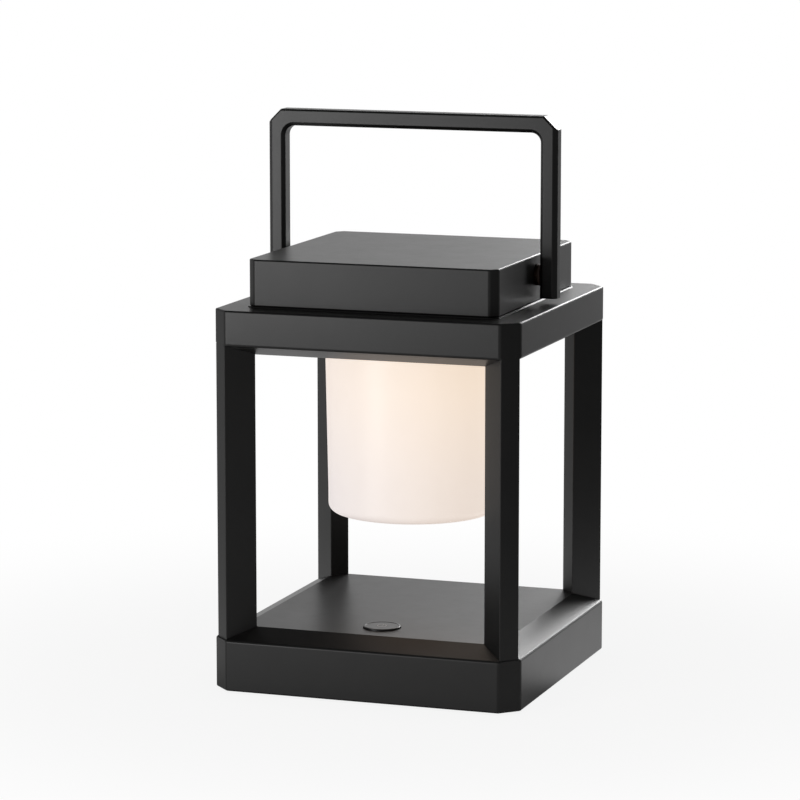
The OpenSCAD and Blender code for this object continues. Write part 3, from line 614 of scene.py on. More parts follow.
class Piece:
    """One mesh shaped as by hand, with its places and sizes given in millimetres."""

    def __init__(self, name: str) -> None:
        """Takes the object that an operator has just added."""
        self.obj = bpy.context.object
        self.named(name)

    def named(self, name: str) -> "Piece":
        """Renames the piece and its mesh."""
        self.obj.name = self.obj.data.name = name
        return self

    @classmethod
    def box(cls, name: str, low: Point, high: Point) -> "Piece":
        """A box.

        Args:
            name: The piece's name.
            low: Its lower left front corner.
            high: Its upper right back corner.

        Returns:
            The box.
        """
        low_at, high_at = Vector(low), Vector(high)
        select_none()
        bpy.ops.mesh.primitive_cube_add(
            size=1, location=(low_at + high_at) / 2 * MM, scale=(high_at - low_at) * MM
        )
        return cls(name)._settle()

    @classmethod
    def rod(
        cls,
        name: str,
        at: Point,
        r: float,
        low: float,
        high: float,
        axis: Axis = Axis.Z,
        sides: int = 64,
    ) -> "Piece":
        """A cylinder.

        Args:
            name: The piece's name.
            at: A point on its axis; the coordinate along the axis isn't read.
            r: Its radius.
            low: Its lower end along the axis.
            high: Its upper end along the axis.
            axis: The axis that it stands along.
            sides: How many sides it has.

        Returns:
            The cylinder.
        """
        centre = Vector(at)
        centre["XYZ".index(axis.name)] = (low + high) / 2
        select_none()
        bpy.ops.mesh.primitive_cylinder_add(
            vertices=sides,
            radius=r * MM,
            depth=(high - low) * MM,
            location=centre * MM,
            rotation=(math.radians(axis.value[0]), math.radians(axis.value[1]), 0),
        )
        return cls(name)._settle()

    def _settle(self) -> "Piece":
        """Applies the object's place, turn and scale to its mesh."""
        keep_only(self.obj)
        bpy.ops.object.transform_apply(location=True, rotation=True, scale=True)
        return self

    @contextmanager
    def _editing(self, mode: str) -> Iterator[bmesh.types.BMesh]:
        """Opens the mesh in edit mode with nothing selected."""
        keep_only(self.obj)
        bpy.ops.object.mode_set(mode="EDIT")
        bpy.ops.mesh.select_mode(type=mode)
        bpy.ops.mesh.select_all(action="DESELECT")
        yield bmesh.from_edit_mesh(self.obj.data)
        bpy.ops.object.mode_set(mode="OBJECT")

    def _pick(self, parts: list[bmesh.types.BMEdge | bmesh.types.BMFace]) -> int:
        """Selects edges or faces in edit mode and counts them."""
        for part in parts:
            part.select_set(True)
        bmesh.update_edit_mesh(self.obj.data)
        return len(parts)

    def cut(self, point: Vector, outward: Vector) -> "Piece":
        """Cuts off what lies outward of a plane and closes the cut.

        Args:
            point: A point on the plane.
            outward: The plane's normal, towards what is cut off.

        Returns:
            The piece.
        """
        with self._editing("FACE"):
            bpy.ops.mesh.select_all(action="SELECT")
            bpy.ops.mesh.bisect(
                plane_co=point * MM, plane_no=outward, use_fill=True, clear_outer=True, threshold=1e-6
            )
        return self

    def bevel(self, width: float, segments: int, where: EdgeTest = is_sharp, worn: bool = True) -> "Piece":
        """Rounds or chamfers edges.

        Args:
            width: The bevel's width.
            segments: How many faces it has across; one makes a flat chamfer.
            where: Says which edges it takes.
            worn: Whether the new faces take the finish's rubbed variant.

        Returns:
            The piece.
        """
        with self._editing("EDGE") as mesh:
            if self._pick([e for e in mesh.edges if where(e)]):
                bpy.ops.mesh.bevel(
                    offset_type="OFFSET",
                    offset=width * MM,
                    segments=segments,
                    profile=0.5,
                    affect="EDGES",
                    clamp_overlap=True,
                    material=1 if worn else -1,
                )
        return self

    def crease(self, where: EdgeTest) -> "Piece":
        """Marks edges that stay sharp when the piece is smoothed."""
        with self._editing("EDGE") as mesh:
            self._pick([e for e in mesh.edges if where(e)])
            bpy.ops.mesh.mark_sharp()
        return self

    def inset(self, width: float, where: FaceTest) -> "Piece":
        """Insets faces by a width."""
        with self._editing("FACE") as mesh:
            self._pick([f for f in mesh.faces if where(f)])
            bpy.ops.mesh.inset(thickness=width * MM, depth=0, use_boundary=True)
        return self

    def draw_out(self, where: FaceTest, by: Point, scale: float = 1.0) -> "Piece":
        """Extrudes faces, moves them and scales them level about their middle.

        Args:
            where: Says which faces it takes.
            by: How far they move.
            scale: How much larger they become.

        Returns:
            The piece.
        """
        with self._editing("FACE") as mesh:
            faces = [f for f in mesh.faces if where(f)]
            centre = sum((middle(f) for f in faces), Vector()) / len(faces) + Vector(by)
            self._pick(faces)
            bpy.ops.mesh.extrude_region_move(TRANSFORM_OT_translate={"value": Vector(by) * MM})
            if scale != 1.0:
                bpy.ops.transform.resize(value=(scale, scale, 1), center_override=centre * MM)
        return self

    def _combine(self, tool: "Piece", operation: str) -> "Piece":
        """Applies a Boolean with a tool piece, and removes the tool.

        Args:
            tool: The other shape.
            operation: The modifier's operation.

        Returns:
            The piece.
        """
        keep_only(self.obj)
        modifier = self.obj.modifiers.new("cut", "BOOLEAN")
        modifier.operation, modifier.solver, modifier.object = operation, "EXACT", tool.obj
        bpy.ops.object.modifier_apply(modifier=modifier.name)
        bpy.data.objects.remove(tool.obj)
        return self

    def less(self, tool: "Piece") -> "Piece":
        """Takes a tool's shape out of the piece."""
        return self._combine(tool, "DIFFERENCE")

    def plus(self, tool: "Piece") -> "Piece":
        """Adds a tool's shape to the piece."""
        return self._combine(tool, "UNION")

    def copy(self, name: str, turn: float = 0, by: Point = (0, 0, 0)) -> "Piece":
        """A copy with its own mesh.

        Args:
            name: The copy's name.
            turn: How far it is turned about the lamp's axis, in degrees.
            by: How far it is then moved.

        Returns:
            The copy.
        """
        twin = self.obj.copy()
        twin.data = self.obj.data.copy()
        bpy.context.scene.collection.objects.link(twin)
        keep_only(twin)
        twin.matrix_world = Matrix.Translation(Vector(by) * MM) @ Matrix.Rotation(math.radians(turn), 4, "Z")
        return Piece(name)._settle()

    def turned(self, turn: float) -> "Piece":
        """The same piece, turned about the lamp's axis."""
        self.obj.matrix_world = Matrix.Rotation(math.radians(turn), 4, "Z")
        return self._settle()

    def join(self, *others: "Piece") -> "Piece":
        """Makes separate shells one piece."""
        keep_only(self.obj)
        for other in others:
            other.obj.select_set(True)
        bpy.ops.object.join()
        return self

    def all_round(self, name: str) -> "Piece":
        """Joins the piece and its three quarter turns about the lamp's axis under a new name."""
        return self.join(*[self.copy("twin", turn) for turn in QUARTERS[1:]]).named(name)

    def done(self, body: Body, slot: str, *nodes: str, finishes: tuple[Finish, ...] = ()) -> "Piece":
        """Smooths and dresses the finished piece and sets it on its body.

        Args:
            body: The body that it rides on.
            slot: The record's material slot.
            nodes: The CAD nodes that it stands for.
            finishes: The main finish and the one that bevels take, where they aren't the slot's.

        Returns:
            The piece.
        """
        keep_only(self.obj)
        bpy.ops.object.shade_smooth_by_angle(angle=math.radians(SMOOTH_ANGLE))
        weights = self.obj.modifiers.new("weights", "WEIGHTED_NORMAL")
        weights.keep_sharp = True
        bpy.ops.object.modifier_apply(modifier=weights.name)
        self.obj.data.materials.clear()
        plain = SLOT_FINISHES[slot]
        for finish in finishes or (plain, RUBBED_FINISHES.get(slot, plain)):
            self.obj.data.materials.append(finish.material())
        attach(self.obj, body.value)
        if nodes:
            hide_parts(*nodes)
        log.info("%s: %d faces", self.obj.name, len(self.obj.data.polygons))
        return self


def cut_block(name: str, w: float, leg: float, low: float, high: float) -> Piece:
    """A square block about the lamp's axis with chamfered upright corners.

    Args:
        name: The piece's name.
        w: Its width.
        leg: The leg of its corner chamfers.
        low: Its lower end.
        high: Its upper end.

    Returns:
        The block.
    """
    piece = Piece.box(name, (-w / 2, -w / 2, low), (w / 2, w / 2, high))
    for turn in DIAGONALS:
        piece.cut(radial(turn) * (w - leg) / ROOT2, radial(turn))
    return piece


def leg_inside(leg: float, wall: float) -> float:
    """The leg of a corner chamfer that lies a wall's thickness inside one with this leg."""
    return leg - wall * (2 - ROOT2)


def hipped_block(
    name: str, w: float, leg: float, flat: float, edge: float, panel: float, run: float
) -> Piece:
    """A cut block with plain walls from `flat` to `edge`, then slopes that run in to a panel.

    Args:
        name: The piece's name.
        w: Its width.
        leg: The leg of its corner chamfers.
        flat: The height of its plain end.
        edge: The height where the walls turn into slopes.
        panel: The height of the panel.
        run: How far in the slopes run.

    Returns:
        The block.
    """
    piece = cut_block(name, w, leg, min(flat, panel), max(flat, panel))
    rise = panel - edge
    for turn in QUARTERS:
        outward = radial(turn) * abs(rise) + Vector((0, 0, math.copysign(run, rise)))
        piece.cut(radial(turn) * w / 2 + Vector((0, 0, edge)), outward.normalized())
    return piece


def is_disc(face: bmesh.types.BMFace, up: bool = True) -> bool:
    """True on a level many-sided face that looks up, or down."""
    return abs(face.normal.z) > 0.9999 and (face.normal.z > 0) == up and len(face.verts) > 20


def at_four(x: float, y: float) -> list[tuple[float, float]]:
    """Four places mirrored about both axes."""
    return [(x, y), (-x, y), (-x, -y), (x, -y)]


@dataclass(frozen=True)
class SocketScrew:
    """A small button-head screw that is driven in from below, with a hexagon socket."""

    head_r: float = 2.75
    head_h: float = 1.48
    edge: float = 0.45
    socket_r: float = 1.15
    socket_share: float = 0.62
    shank_r: float = 1.5
    seat_r: float = 2.95
    seat_deep: float = 1.5
    hole_r: float = 1.7
    sunk: float = 0.02

    def build(self, name: str, x: float, y: float, face: float, length: float) -> Piece:
        """Shapes one screw.

        Args:
            name: The screw's name.
            x: Its place on X.
            y: Its place on Y.
            face: The height of the face that its head is sunk in.
            length: Its shank's length above the head.

        Returns:
            The screw.
        """
        where, low = (x, y, 0), face + self.sunk
        screw = Piece.rod(name, where, self.head_r, low, low + self.head_h, sides=48)
        screw.bevel(self.edge, 3, lambda e: is_rim(e) and middle(e).z < low + NEAR)
        socket_top = low + self.head_h * self.socket_share
        screw.less(Piece.rod("socket", where, self.socket_r, low - PAST, socket_top, sides=6))
        screw.draw_out(is_disc, (0, 0, 0), self.shank_r / self.head_r)
        return screw.draw_out(is_disc, (0, 0, length))

    def seat(self, piece: Piece, x: float, y: float, face: float, high: float) -> None:
        """Cuts the head's seat and the shank's hole into a piece.

        Args:
            piece: The piece.
            x: The screw's place on X.
            y: Its place on Y.
            face: The height of the piece's lower face.
            high: The hole's upper end.
        """
        seat_top = face + self.seat_deep
        piece.less(Piece.rod("seat", (x, y, 0), self.seat_r, face - PAST, seat_top, sides=48))
        piece.less(Piece.rod("hole", (x, y, 0), self.hole_r, face - PAST, high, sides=32))


@dataclass(frozen=True)
class PostSeat:
    """The notch on each diagonal that takes a post's end."""

    near: float = 78.88
    far: float = 110.0
    wide: float = 9.5

    def cut(self, piece: Piece, low: float, high: float) -> None:
        """Cuts the four notches into a piece.

        Args:
            piece: The piece.
            low: Their lower end.
            high: Their upper end.
        """
        for turn in DIAGONALS:
            seat = Piece.box("seat", (self.near, -self.wide / 2, low), (self.far, self.wide / 2, high))
            piece.less(seat.turned(turn))


SCREW = SocketScrew()
POST_SEAT = PostSeat()


# ---------- base ----------


@dataclass
class Base:
    """The base: housing, bottom cover, its screws and the rubber feet."""

    w: float = 141.5
    leg: float = 7.8
    wall: float = 2.5
    skin: float = 2.2
    run: float = 11.4
    bottom: float = 1.0
    rail: float = 23.7
    deck: float = 28.6
    edge: float = 0.9
    seat_floor: float = 23.7
    pad_out: float = 2.0
    pad_deep: float = 5.0
    pad_far: float = 92.0
    hole_y: float = 42.6
    hole_r: float = 8.6
    hole_deep: float = 4.0
    inlet_z: float = 12.8
    inlet_w: float = 8.94
    inlet_h: float = 3.26
    inlet_fit: float = 0.3
    inlet_deep: float = 9.0
    inlet_flat: float = 0.002
    recess: float = 2.6
    recess_deep: float = 1.0
    mouth_edge: float = 0.25
    mouth_near: float = 0.05
    crease_angle: float = 20
    cover: float = 2.2
    cover_fit: float = 0.3
    cover_edge: float = 0.3
    panel_w: float = 82.0
    panel_leg: float = 6.0
    panel_deep: float = 0.4
    foot_at: float = 54.0
    foot_r: float = 6.0
    foot_fit: float = 0.15
    foot_sunk: float = 0.8
    foot_edge: float = 0.45
    foot_rim: float = 1.6
    foot_dish: float = 0.3
    dish_share: float = 0.9
    screw_x: float = 40.0
    screw_y: float = 59.95
    screw_long: float = 6.8

    def build(self) -> None:
        """Builds the base's pieces."""
        self.housing()
        self.bottom_cover()
        self.feet()
        self.screws()

    def housing(self) -> None:
        """The hollow housing with its sloped shoulders, post seats, button hole and inlet."""
        shell = hipped_block("base_shell", self.w, self.leg, self.bottom, self.rail, self.deck, self.run)
        shell.bevel(self.edge, 3, is_rim)
        fall = (self.deck - self.rail) / self.run
        hollow = hipped_block(
            "hollow",
            self.w - 2 * self.wall,
            leg_inside(self.leg, self.wall),
            self.bottom - PAST,
            self.rail + self.wall * fall - self.skin,
            self.deck - self.skin,
            self.run - self.wall,
        )
        shell.less(hollow)
        POST_SEAT.cut(shell, self.seat_floor, self.deck + PAST)
        half = POST_SEAT.wide / 2 + self.pad_out
        low = (POST_SEAT.near - self.pad_out, -half, self.seat_floor - self.pad_deep)
        for turn in DIAGONALS:
            pad = Piece.box("pad", low, (self.pad_far, half, self.seat_floor))
            shell.plus(pad.turned(turn))
        where, low = (0, -self.hole_y, 0), self.deck - self.hole_deep
        shell.less(Piece.rod("button_hole", where, self.hole_r, low, self.deck + PAST, sides=96))
        shell.less(self.slot_tool(self.inlet_fit, self.inlet_deep))
        shell.less(self.slot_tool(self.recess, self.recess_deep))
        shell.bevel(self.mouth_edge, 2, self.is_mouth)
        above = self.deck - self.mouth_near
        shell.crease(lambda e: is_sharp(e, self.crease_angle) and middle(e).z > above)
        shell.done(Body.FRAME, "black_coat", "base_housing")

    def slot_tool(self, margin: float, depth: float) -> Piece:
        """A tool for a rounded slot round the inlet, from the back wall inwards.

        Args:
            margin: How much wider it is than the inlet.
            depth: How far in it reaches.

        Returns:
            The tool.
        """
        half_w, half_h = (self.inlet_w + margin) / 2, (self.inlet_h + margin) / 2
        low = (-half_w, self.w / 2 - depth, self.inlet_z - half_h)
        tool = Piece.box("slot", low, (half_w, self.w / 2 + PAST, self.inlet_z + half_h))
        return tool.bevel(half_h - self.inlet_flat, 8, lambda e: runs_along(e, "y"))

    def is_mouth(self, e: bmesh.types.BMEdge) -> bool:
        """True on the rims of the button hole and of the inlet's recess."""
        at = middle(e)
        on_hole = abs(math.hypot(at.x, at.y + self.hole_y) - self.hole_r) < self.mouth_near
        in_width = abs(at.x) < self.inlet_w / 2 + self.recess
        in_height = abs(at.z - self.inlet_z) < self.inlet_h / 2 + self.recess
        on_back = abs(at.y - self.w / 2) < NEAR
        return (abs(at.z - self.deck) < NEAR and on_hole) or (on_back and in_width and in_height)

    def bottom_cover(self) -> None:
        """The moulded plate that closes the base, with a shallow panel between its feet."""
        w, leg = self.w - 2 * self.wall - self.cover_fit, leg_inside(self.leg, self.wall)
        plate = cut_block("bottom_plate", w, leg, self.bottom, self.bottom + self.cover)
        plate.bevel(self.cover_edge, 2)
        panel_top = self.bottom + self.panel_deep
        panel = cut_block("panel", self.panel_w, self.panel_leg, self.bottom - PAST, panel_top)
        plate.less(panel.bevel(self.cover_edge, 2, lambda e: middle(e).z > self.bottom))
        seat_r, seat_top = self.foot_r + self.foot_fit, self.bottom + self.foot_sunk
        for x, y in at_four(self.foot_at, self.foot_at):
            plate.less(Piece.rod("foot_seat", (x, y, 0), seat_r, self.bottom - PAST, seat_top))
        for x, y in at_four(self.screw_x, self.screw_y):
            SCREW.seat(plate, x, y, self.bottom, self.bottom + self.cover + PAST)
        plate.done(Body.FRAME, "black_plastic", "bottom_cover")

    def feet(self) -> None:
        """The four rubber feet, each a dished disc with a round edge."""
        at = (self.foot_at, self.foot_at, 0)
        foot = Piece.rod("foot", at, self.foot_r, 0, self.bottom + self.foot_sunk, sides=72)
        foot.bevel(self.foot_edge, 4, lambda e: is_rim(e) and middle(e).z < NEAR)
        foot.inset(self.foot_rim, lambda f: is_disc(f, False))
        foot.draw_out(lambda f: is_disc(f, False), (0, 0, self.foot_dish), self.dish_share)
        foot.all_round("feet").done(Body.FRAME, "black_rubber", "rubber_feet")

    def screws(self) -> None:
        """The four screws that hold the bottom cover."""
        x, y = self.screw_x, self.screw_y
        screw = SCREW.build("cover_screw", x, y, self.bottom, self.screw_long)
        twins = [screw.copy("twin", by=(u - x, v - y, 0)) for u, v in at_four(x, y)[1:]]
        screw.join(*twins).named("bottom_screws").done(Body.FRAME, "steel", "cover_screws")


# ---------- posts ----------


@dataclass
class Posts:
    """The four flat posts that carry the roof, set on the diagonals."""

    near: float = 79.03
    far: float = 93.83
    thick: float = 9.2
    foot: float = 23.7
    head: float = 154.8
    edge: float = 0.35
    rod_at: float = 90.3
    rod_r: float = 1.7
    lead_at: float = 84.0
    lead_r: float = 2.2

    def build(self) -> None:
        """Builds one post with its bores and copies it to the corners."""
        half = self.thick / 2
        post = Piece.box("post", (self.near, -half, self.foot), (self.far, half, self.head))
        post.bevel(self.edge, 3, lambda e: runs_along(e, "z"))
        for at, r in ((self.rod_at, self.rod_r), (self.lead_at, self.lead_r)):
            post.less(Piece.rod("bore", (at, 0, 0), r, self.foot - PAST, self.head + PAST, sides=24))
        turns = {"front_right": 315, "back_right": 45, "back_left": 135, "front_left": 225}
        for corner, turn in turns.items():
            post.copy(f"post_bar_{corner}", turn).done(Body.FRAME, "black_coat", f"post_{corner}")
        bpy.data.objects.remove(post.obj)


# ---------- roof ----------


@dataclass
class Roof:
    """The roof: its shell, the ceiling cover with the shade's hole, and the ceiling screws."""

    w: float = 140.0
    leg: float = 7.3
    wall: float = 2.5
    skin: float = 2.0
    run: float = 11.4
    ceiling: float = 149.8
    rail: float = 154.8
    top: float = 170.2
    plateau: float = 170.7
    cap_w: float = 114.6
    cap_leg: float = 3.4
    step_out: float = 0.5
    cover_fit: float = 0.3
    edge: float = 0.9
    shade_r: float = 39.65
    screw_at: float = 50.0
    screw_long: float = 6.6

    def build(self) -> None:
        """Builds the roof's pieces."""
        self.shell()
        self.ceiling_cover()
        self.screws()

    def block(self, name: str) -> Piece:
        """The roof's whole outside."""
        return hipped_block(name, self.w, self.leg, self.top, self.rail, self.ceiling, self.run)

    def shell(self) -> None:
        """The roof's hollow shell, with the low step that the cap stands on."""
        shell = self.block("roof_cover").bevel(self.edge, 3, is_rim)
        inner, leg = self.w - 2 * self.wall, leg_inside(self.leg, self.wall)
        shell.less(cut_block("hollow", inner, leg, self.ceiling - PAST, self.top - self.skin))
        POST_SEAT.cut(shell, self.ceiling - PAST, self.rail)
        step_w, low = self.cap_w + 2 * self.step_out, 2 * self.top - self.plateau
        step = hipped_block("step", step_w, self.cap_leg, low, self.top, self.plateau, self.step_out)
        shell.plus(step).done(Body.FRAME, "black_coat", "roof_shell")

    def ceiling_cover(self) -> None:
        """The dished panel under the roof."""
        panel = self.block("ceiling_panel")
        panel.bevel(self.edge, 3, lambda e: is_sharp(e) and middle(e).z < self.ceiling + NEAR)
        above = hipped_block(
            "above",
            self.w + 2 * NEAR,
            self.leg,
            self.top + PAST,
            self.rail + self.skin,
            self.ceiling + self.skin,
            self.run,
        )
        panel.less(above)
        inner = self.w - 2 * self.wall - self.cover_fit
        for turn in QUARTERS:
            panel.cut(radial(turn) * inner / 2, radial(turn))
        for turn in DIAGONALS:
            panel.cut(radial(turn) * (inner - leg_inside(self.leg, self.wall)) / ROOT2, radial(turn))
        POST_SEAT.cut(panel, self.ceiling - PAST, self.top)
        panel.less(Piece.rod("hole", (0, 0, 0), self.shade_r, self.ceiling - PAST, self.rail, sides=128))
        for x, y in at_four(self.screw_at, self.screw_at):
            SCREW.seat(panel, x, y, self.ceiling, self.rail)
        panel.done(Body.FRAME, "black_coat", "ceiling_cover")

    def screws(self) -> None:
        """The four black screws in the ceiling."""
        screw = SCREW.build("screw", self.screw_at, self.screw_at, self.ceiling, self.screw_long)
        screw.all_round("ceiling_panel_screws").done(Body.FRAME, "black_screw", "ceiling_screws")


# ---------- cap ----------


@dataclass
class Cap:
    """The block on the roof that carries the handle's pivots."""

    w: float = 114.6
    leg: float = 3.4
    wall: float = 2.5
    low: float = 170.7
    high: float = 191.4
    pivot: float = 182.6
    bush_r: float = 3.53
    edge: float = 0.8

    def build(self) -> None:
        """Builds the hollow block and bores it for the pivots' bushes."""
        block = cut_block("cap_cover", self.w, self.leg, self.low, self.high)
        block.bevel(self.edge, 3)
        inner, leg = self.w - 2 * self.wall, leg_inside(self.leg, self.wall)
        block.less(cut_block("hollow", inner, leg, self.low - PAST, self.high - self.wall))
        bore = Piece.rod("bore", (0, 0, self.pivot), self.bush_r, -self.w, self.w, Axis.X, sides=48)
        block.less(bore).done(Body.FRAME, "black_coat", "cap_block")


# ---------- handle ----------


@dataclass
class Bail:
    """The folding handle: two arms and a crossbar cut from one chamfered bar."""

    pivot: float = 182.6
    half_w: float = 67.5
    arm: float = 7.8
    depth: float = 8.7
    foot: float = 172.5
    top: float = 252.7
    bar: float = 7.4
    corner: float = 6.0
    fillet: float = 4.4
    chamfer: float = 1.5
    arm_edge: float = 1.9
    bar_edge: float = 0.7
    edge: float = 0.22
    pin_r: float = 2.03
    pin_far: float = 64.3
    bush_near: float = 52.8
    bush_r: float = 3.5
    flange_near: float = 57.3
    flange_edge: float = 0.2
    washer_near: float = 58.85
    washer_far: float = 59.65
    washer_edge: float = 0.12
    hub_r: float = 4.8
    bore_r: float = 2.05
    bore_past: float = 9.0

    def build(self) -> None:
        """Builds the handle and the bushes and washers that it turns on."""
        self.handle()
        self.hubs()

    def handle(self) -> None:
        """The handle itself, with wider chamfers along its arms than along its crossbar."""
        d, w, shoulder = self.depth / 2, self.half_w, self.top - self.corner
        bail = Piece.box("bail_handle", (-w, -d, self.foot), (w, d, self.top))
        for side in (-1, 1):
            bail.cut(Vector((side * w, 0, shoulder)), Vector((side, 0, 1)).normalized())
        for face in (-1, 1):
            front = Vector((0, face, 0))
            bail.cut(Vector((0, face * d, self.top - self.bar_edge)), (front + UP).normalized())
            for side in (-1, 1):
                out = Vector((side, 0, 0))
                slant = (out + UP).normalized()
                at = Vector((side * w, face * d, shoulder)) - slant * self.bar_edge
                bail.cut(at, (front + slant).normalized())
                bail.cut(Vector((side * (w - self.arm_edge), face * d, 0)), (front + out).normalized())
        inside = w - self.arm
        low, high = (-inside, -self.depth, self.foot - PAST), (inside, self.depth, self.top - self.bar)
        opening = Piece.box("opening", low, high)
        opening.bevel(self.fillet, 10, lambda e: runs_along(e, "y") and middle(e).z > self.pivot)
        bail.less(opening)
        bail.bevel(self.chamfer, 1, self.is_opening, worn=False)
        for face in (-1, 1):
            bail.cut(Vector((0, face * d, self.foot + self.bar_edge)), Vector((0, face, -1)).normalized())
        bail.bevel(self.edge, 2, lambda e: is_sharp(e, 20))
        bore = self.disc(1, -self.pin_far, self.pin_far, self.pin_r, 48)
        bail.less(bore).done(Body.BAIL, "black_coat", "handle")

    def is_opening(self, e: bmesh.types.BMEdge) -> bool:
        """True on the hand opening's front and back edges."""
        at = middle(e)
        within = abs(at.x) < self.half_w - self.arm + NEAR and at.z < self.top - self.bar + NEAR
        return is_sharp(e) and abs(abs(at.y) - self.depth / 2) < NEAR and within

    def disc(self, side: int, near: float, far: float, r: float, sides: int = 72) -> Piece:
        """A disc on the pivots' axis.

        Args:
            side: The lamp's side that it lies on, 1 for the right and -1 for the left.
            near: How far from the lamp's middle it begins.
            far: How far from the middle it ends.
            r: Its radius.
            sides: How many sides it has.

        Returns:
            The disc.
        """
        low, high = sorted((side * near, side * far))
        return Piece.rod("disc", (0, 0, self.pivot), r, low, high, Axis.X, sides)

    def hubs(self) -> None:
        """The flanged bushes in the cap and the fibre washers that rub on the arms."""
        bushes, washers = [], []
        for side in (-1, 1):
            bush = self.disc(side, self.bush_near, self.flange_near, self.bush_r)
            flange = self.disc(side, self.flange_near, self.washer_near, self.hub_r)
            bush.plus(flange.bevel(self.flange_edge, 3, is_rim))
            washer = self.disc(side, self.washer_near, self.washer_far, self.hub_r)
            washer.bevel(self.washer_edge, 2, is_rim)
            bushes.append(self.bored(bush, side, self.flange_near, self.washer_near))
            washers.append(self.bored(washer, side, self.washer_near, self.washer_far))
        pair = bushes[0].join(bushes[1]).named("pivot_bush_pair")
        pair.done(Body.FRAME, "bronze", "pivot_bushes")
        pair = washers[0].join(washers[1]).named("pivot_washer_pair")
        pair.done(Body.FRAME, "brown_fibre", "friction_washers")

    def bored(self, ring: Piece, side: int, near: float, far: float) -> Piece:
        """Bores a ring for its pin, from well before `near` to well after `far`."""
        past = self.bore_past
        return ring.less(self.disc(side, near - past, far + past, self.bore_r, 48))


# ---------- shade ----------


@dataclass
class Shade:
    """The opal shade that hangs through the ceiling."""

    r_top: float = 39.5
    r_foot: float = 38.2
    foot: float = 73.6
    straight: float = 10.0
    ceiling: float = 149.8
    flange_low: float = 151.8
    flange_high: float = 153.8
    flange: float = 3.5
    wall: float = 2.0
    round: float = 4.0

    def build(self) -> None:
        """Shapes the shade from a cylinder: taper, round foot, flange, then its inside."""
        start = self.foot + self.straight
        shade = Piece.rod("shade_diffuser", (0, 0, 0), self.r_foot, self.foot, start, sides=128)
        outer, inner = self.r_top + self.flange, self.r_top - self.wall
        shade.draw_out(is_disc, (0, 0, self.ceiling - start), self.r_top / self.r_foot)
        shade.draw_out(is_disc, (0, 0, self.flange_low - self.ceiling))
        shade.draw_out(is_disc, (0, 0, 0), outer / self.r_top)
        shade.draw_out(is_disc, (0, 0, self.flange_high - self.flange_low))
        shade.inset(outer - inner, is_disc)
        shade.draw_out(is_disc, (0, 0, self.ceiling - self.flange_high))
        floor = self.foot + self.wall
        shade.draw_out(is_disc, (0, 0, floor - self.ceiling), (self.r_foot - self.wall) / inner)
        for z, r, segments in ((self.foot, self.round, 10), (floor, self.round - self.wall, 6)):
            shade.bevel(r, segments, lambda e: is_rim(e) and abs(middle(e).z - z) < NEAR, worn=False)
        shade.done(Body.FRAME, "opal", "shade", finishes=(OPAL,))


# ---------- push button ----------


@dataclass
class PushButton:
    """The round push button on the deck, with a plain power symbol."""

    y: float = 42.6
    r: float = 8.3
    top: float = 29.4
    under: float = 26.35
    edge: float = 0.35
    rim: float = 0.55
    dish: float = 0.12
    dish_share: float = 0.985
    flange: float = 1.7
    flange_h: float = 1.0
    stem_r: float = 2.5
    stem_low: float = 22.9
    mark_r: float = 2.0
    mark_w: float = 0.42
    mark_gap: float = 0.672
    bar_low: float = 0.5
    bar_out: float = 0.55
    ink: float = 0.03
    ink_sunk: float = 0.02

    def build(self) -> None:
        """Builds the cap, its hidden flange and stem, and the mark on its face."""
        cap = Piece.rod("button_disc", (0, -self.y, 0), self.r, self.under, self.top, sides=96)
        cap.bevel(self.edge, 4, lambda e: is_rim(e) and middle(e).z > self.top - NEAR)
        cap.inset(self.rim, is_disc)
        cap.draw_out(is_disc, (0, 0, -self.dish), self.dish_share)
        outer, stem = self.r + self.flange, self.stem_low - self.under + self.flange_h
        steps = ((0, outer / self.r), (-self.flange_h, 1.0), (0, self.stem_r / outer), (stem, 1.0))
        for fall, scale in steps:
            cap.draw_out(lambda f: is_disc(f, False), (0, 0, fall), scale)
        cap.done(Body.BUTTON, "button_coat", "button_cap")
        self.mark()

    def mark(self) -> None:
        """The power symbol: an open ring and a bar, printed on the cap's face."""
        where, half, face = (0, -self.y, 0), self.mark_w / 2, self.top - self.dish
        low, high = face - self.ink_sunk, face + self.ink
        ring = Piece.rod("power_symbol", where, self.mark_r + half, low, high, sides=64)
        ring.less(Piece.rod("middle", where, self.mark_r - half, low - PAST, high + PAST, sides=64))
        gap, past = self.mark_gap, self.mark_r + self.mark_w + PAST
        ring.less(Piece.box("gap", (-gap, -self.y, low - PAST), (gap, past - self.y, high + PAST)))
        near, far = self.bar_low - self.y, self.mark_r + self.bar_out - self.y
        bar = Piece.box("bar", (-half, near, low), (half, far, high))
        bar.bevel(half - NEAR, 4, lambda e: runs_along(e, "z"))
        ring.join(bar).done(Body.BUTTON, "button_coat", finishes=(BUTTON_MARK, BUTTON_MARK))


# ---------- carried-over CAD nodes ----------


class Inside:
    """The CAD nodes that are kept, each dressed in its slot's finish."""

    def dress(self) -> None:
        """Gives every kept node its finish."""
        slots = {part["node"]: part["material_slot"] for part in frame["record"]["subparts"]}
        for name, obj in frame["nodes"].items():
            if obj.hide_render:
                continue
            material = SLOT_FINISHES[slots[name]].material()
            for place in obj.material_slots:
                place.material = material
            log.info("%s: kept, dressed as %s", name, material.name)


# ---------- studio ----------


def turn_from(obj: bpy.types.Object, back: Vector) -> None:
    """Turns a lamp or a card so that it shines away from a direction."""
    obj.rotation_mode = "QUATERNION"
    obj.rotation_quaternion = (-back).to_track_quat("-Z", "Y")


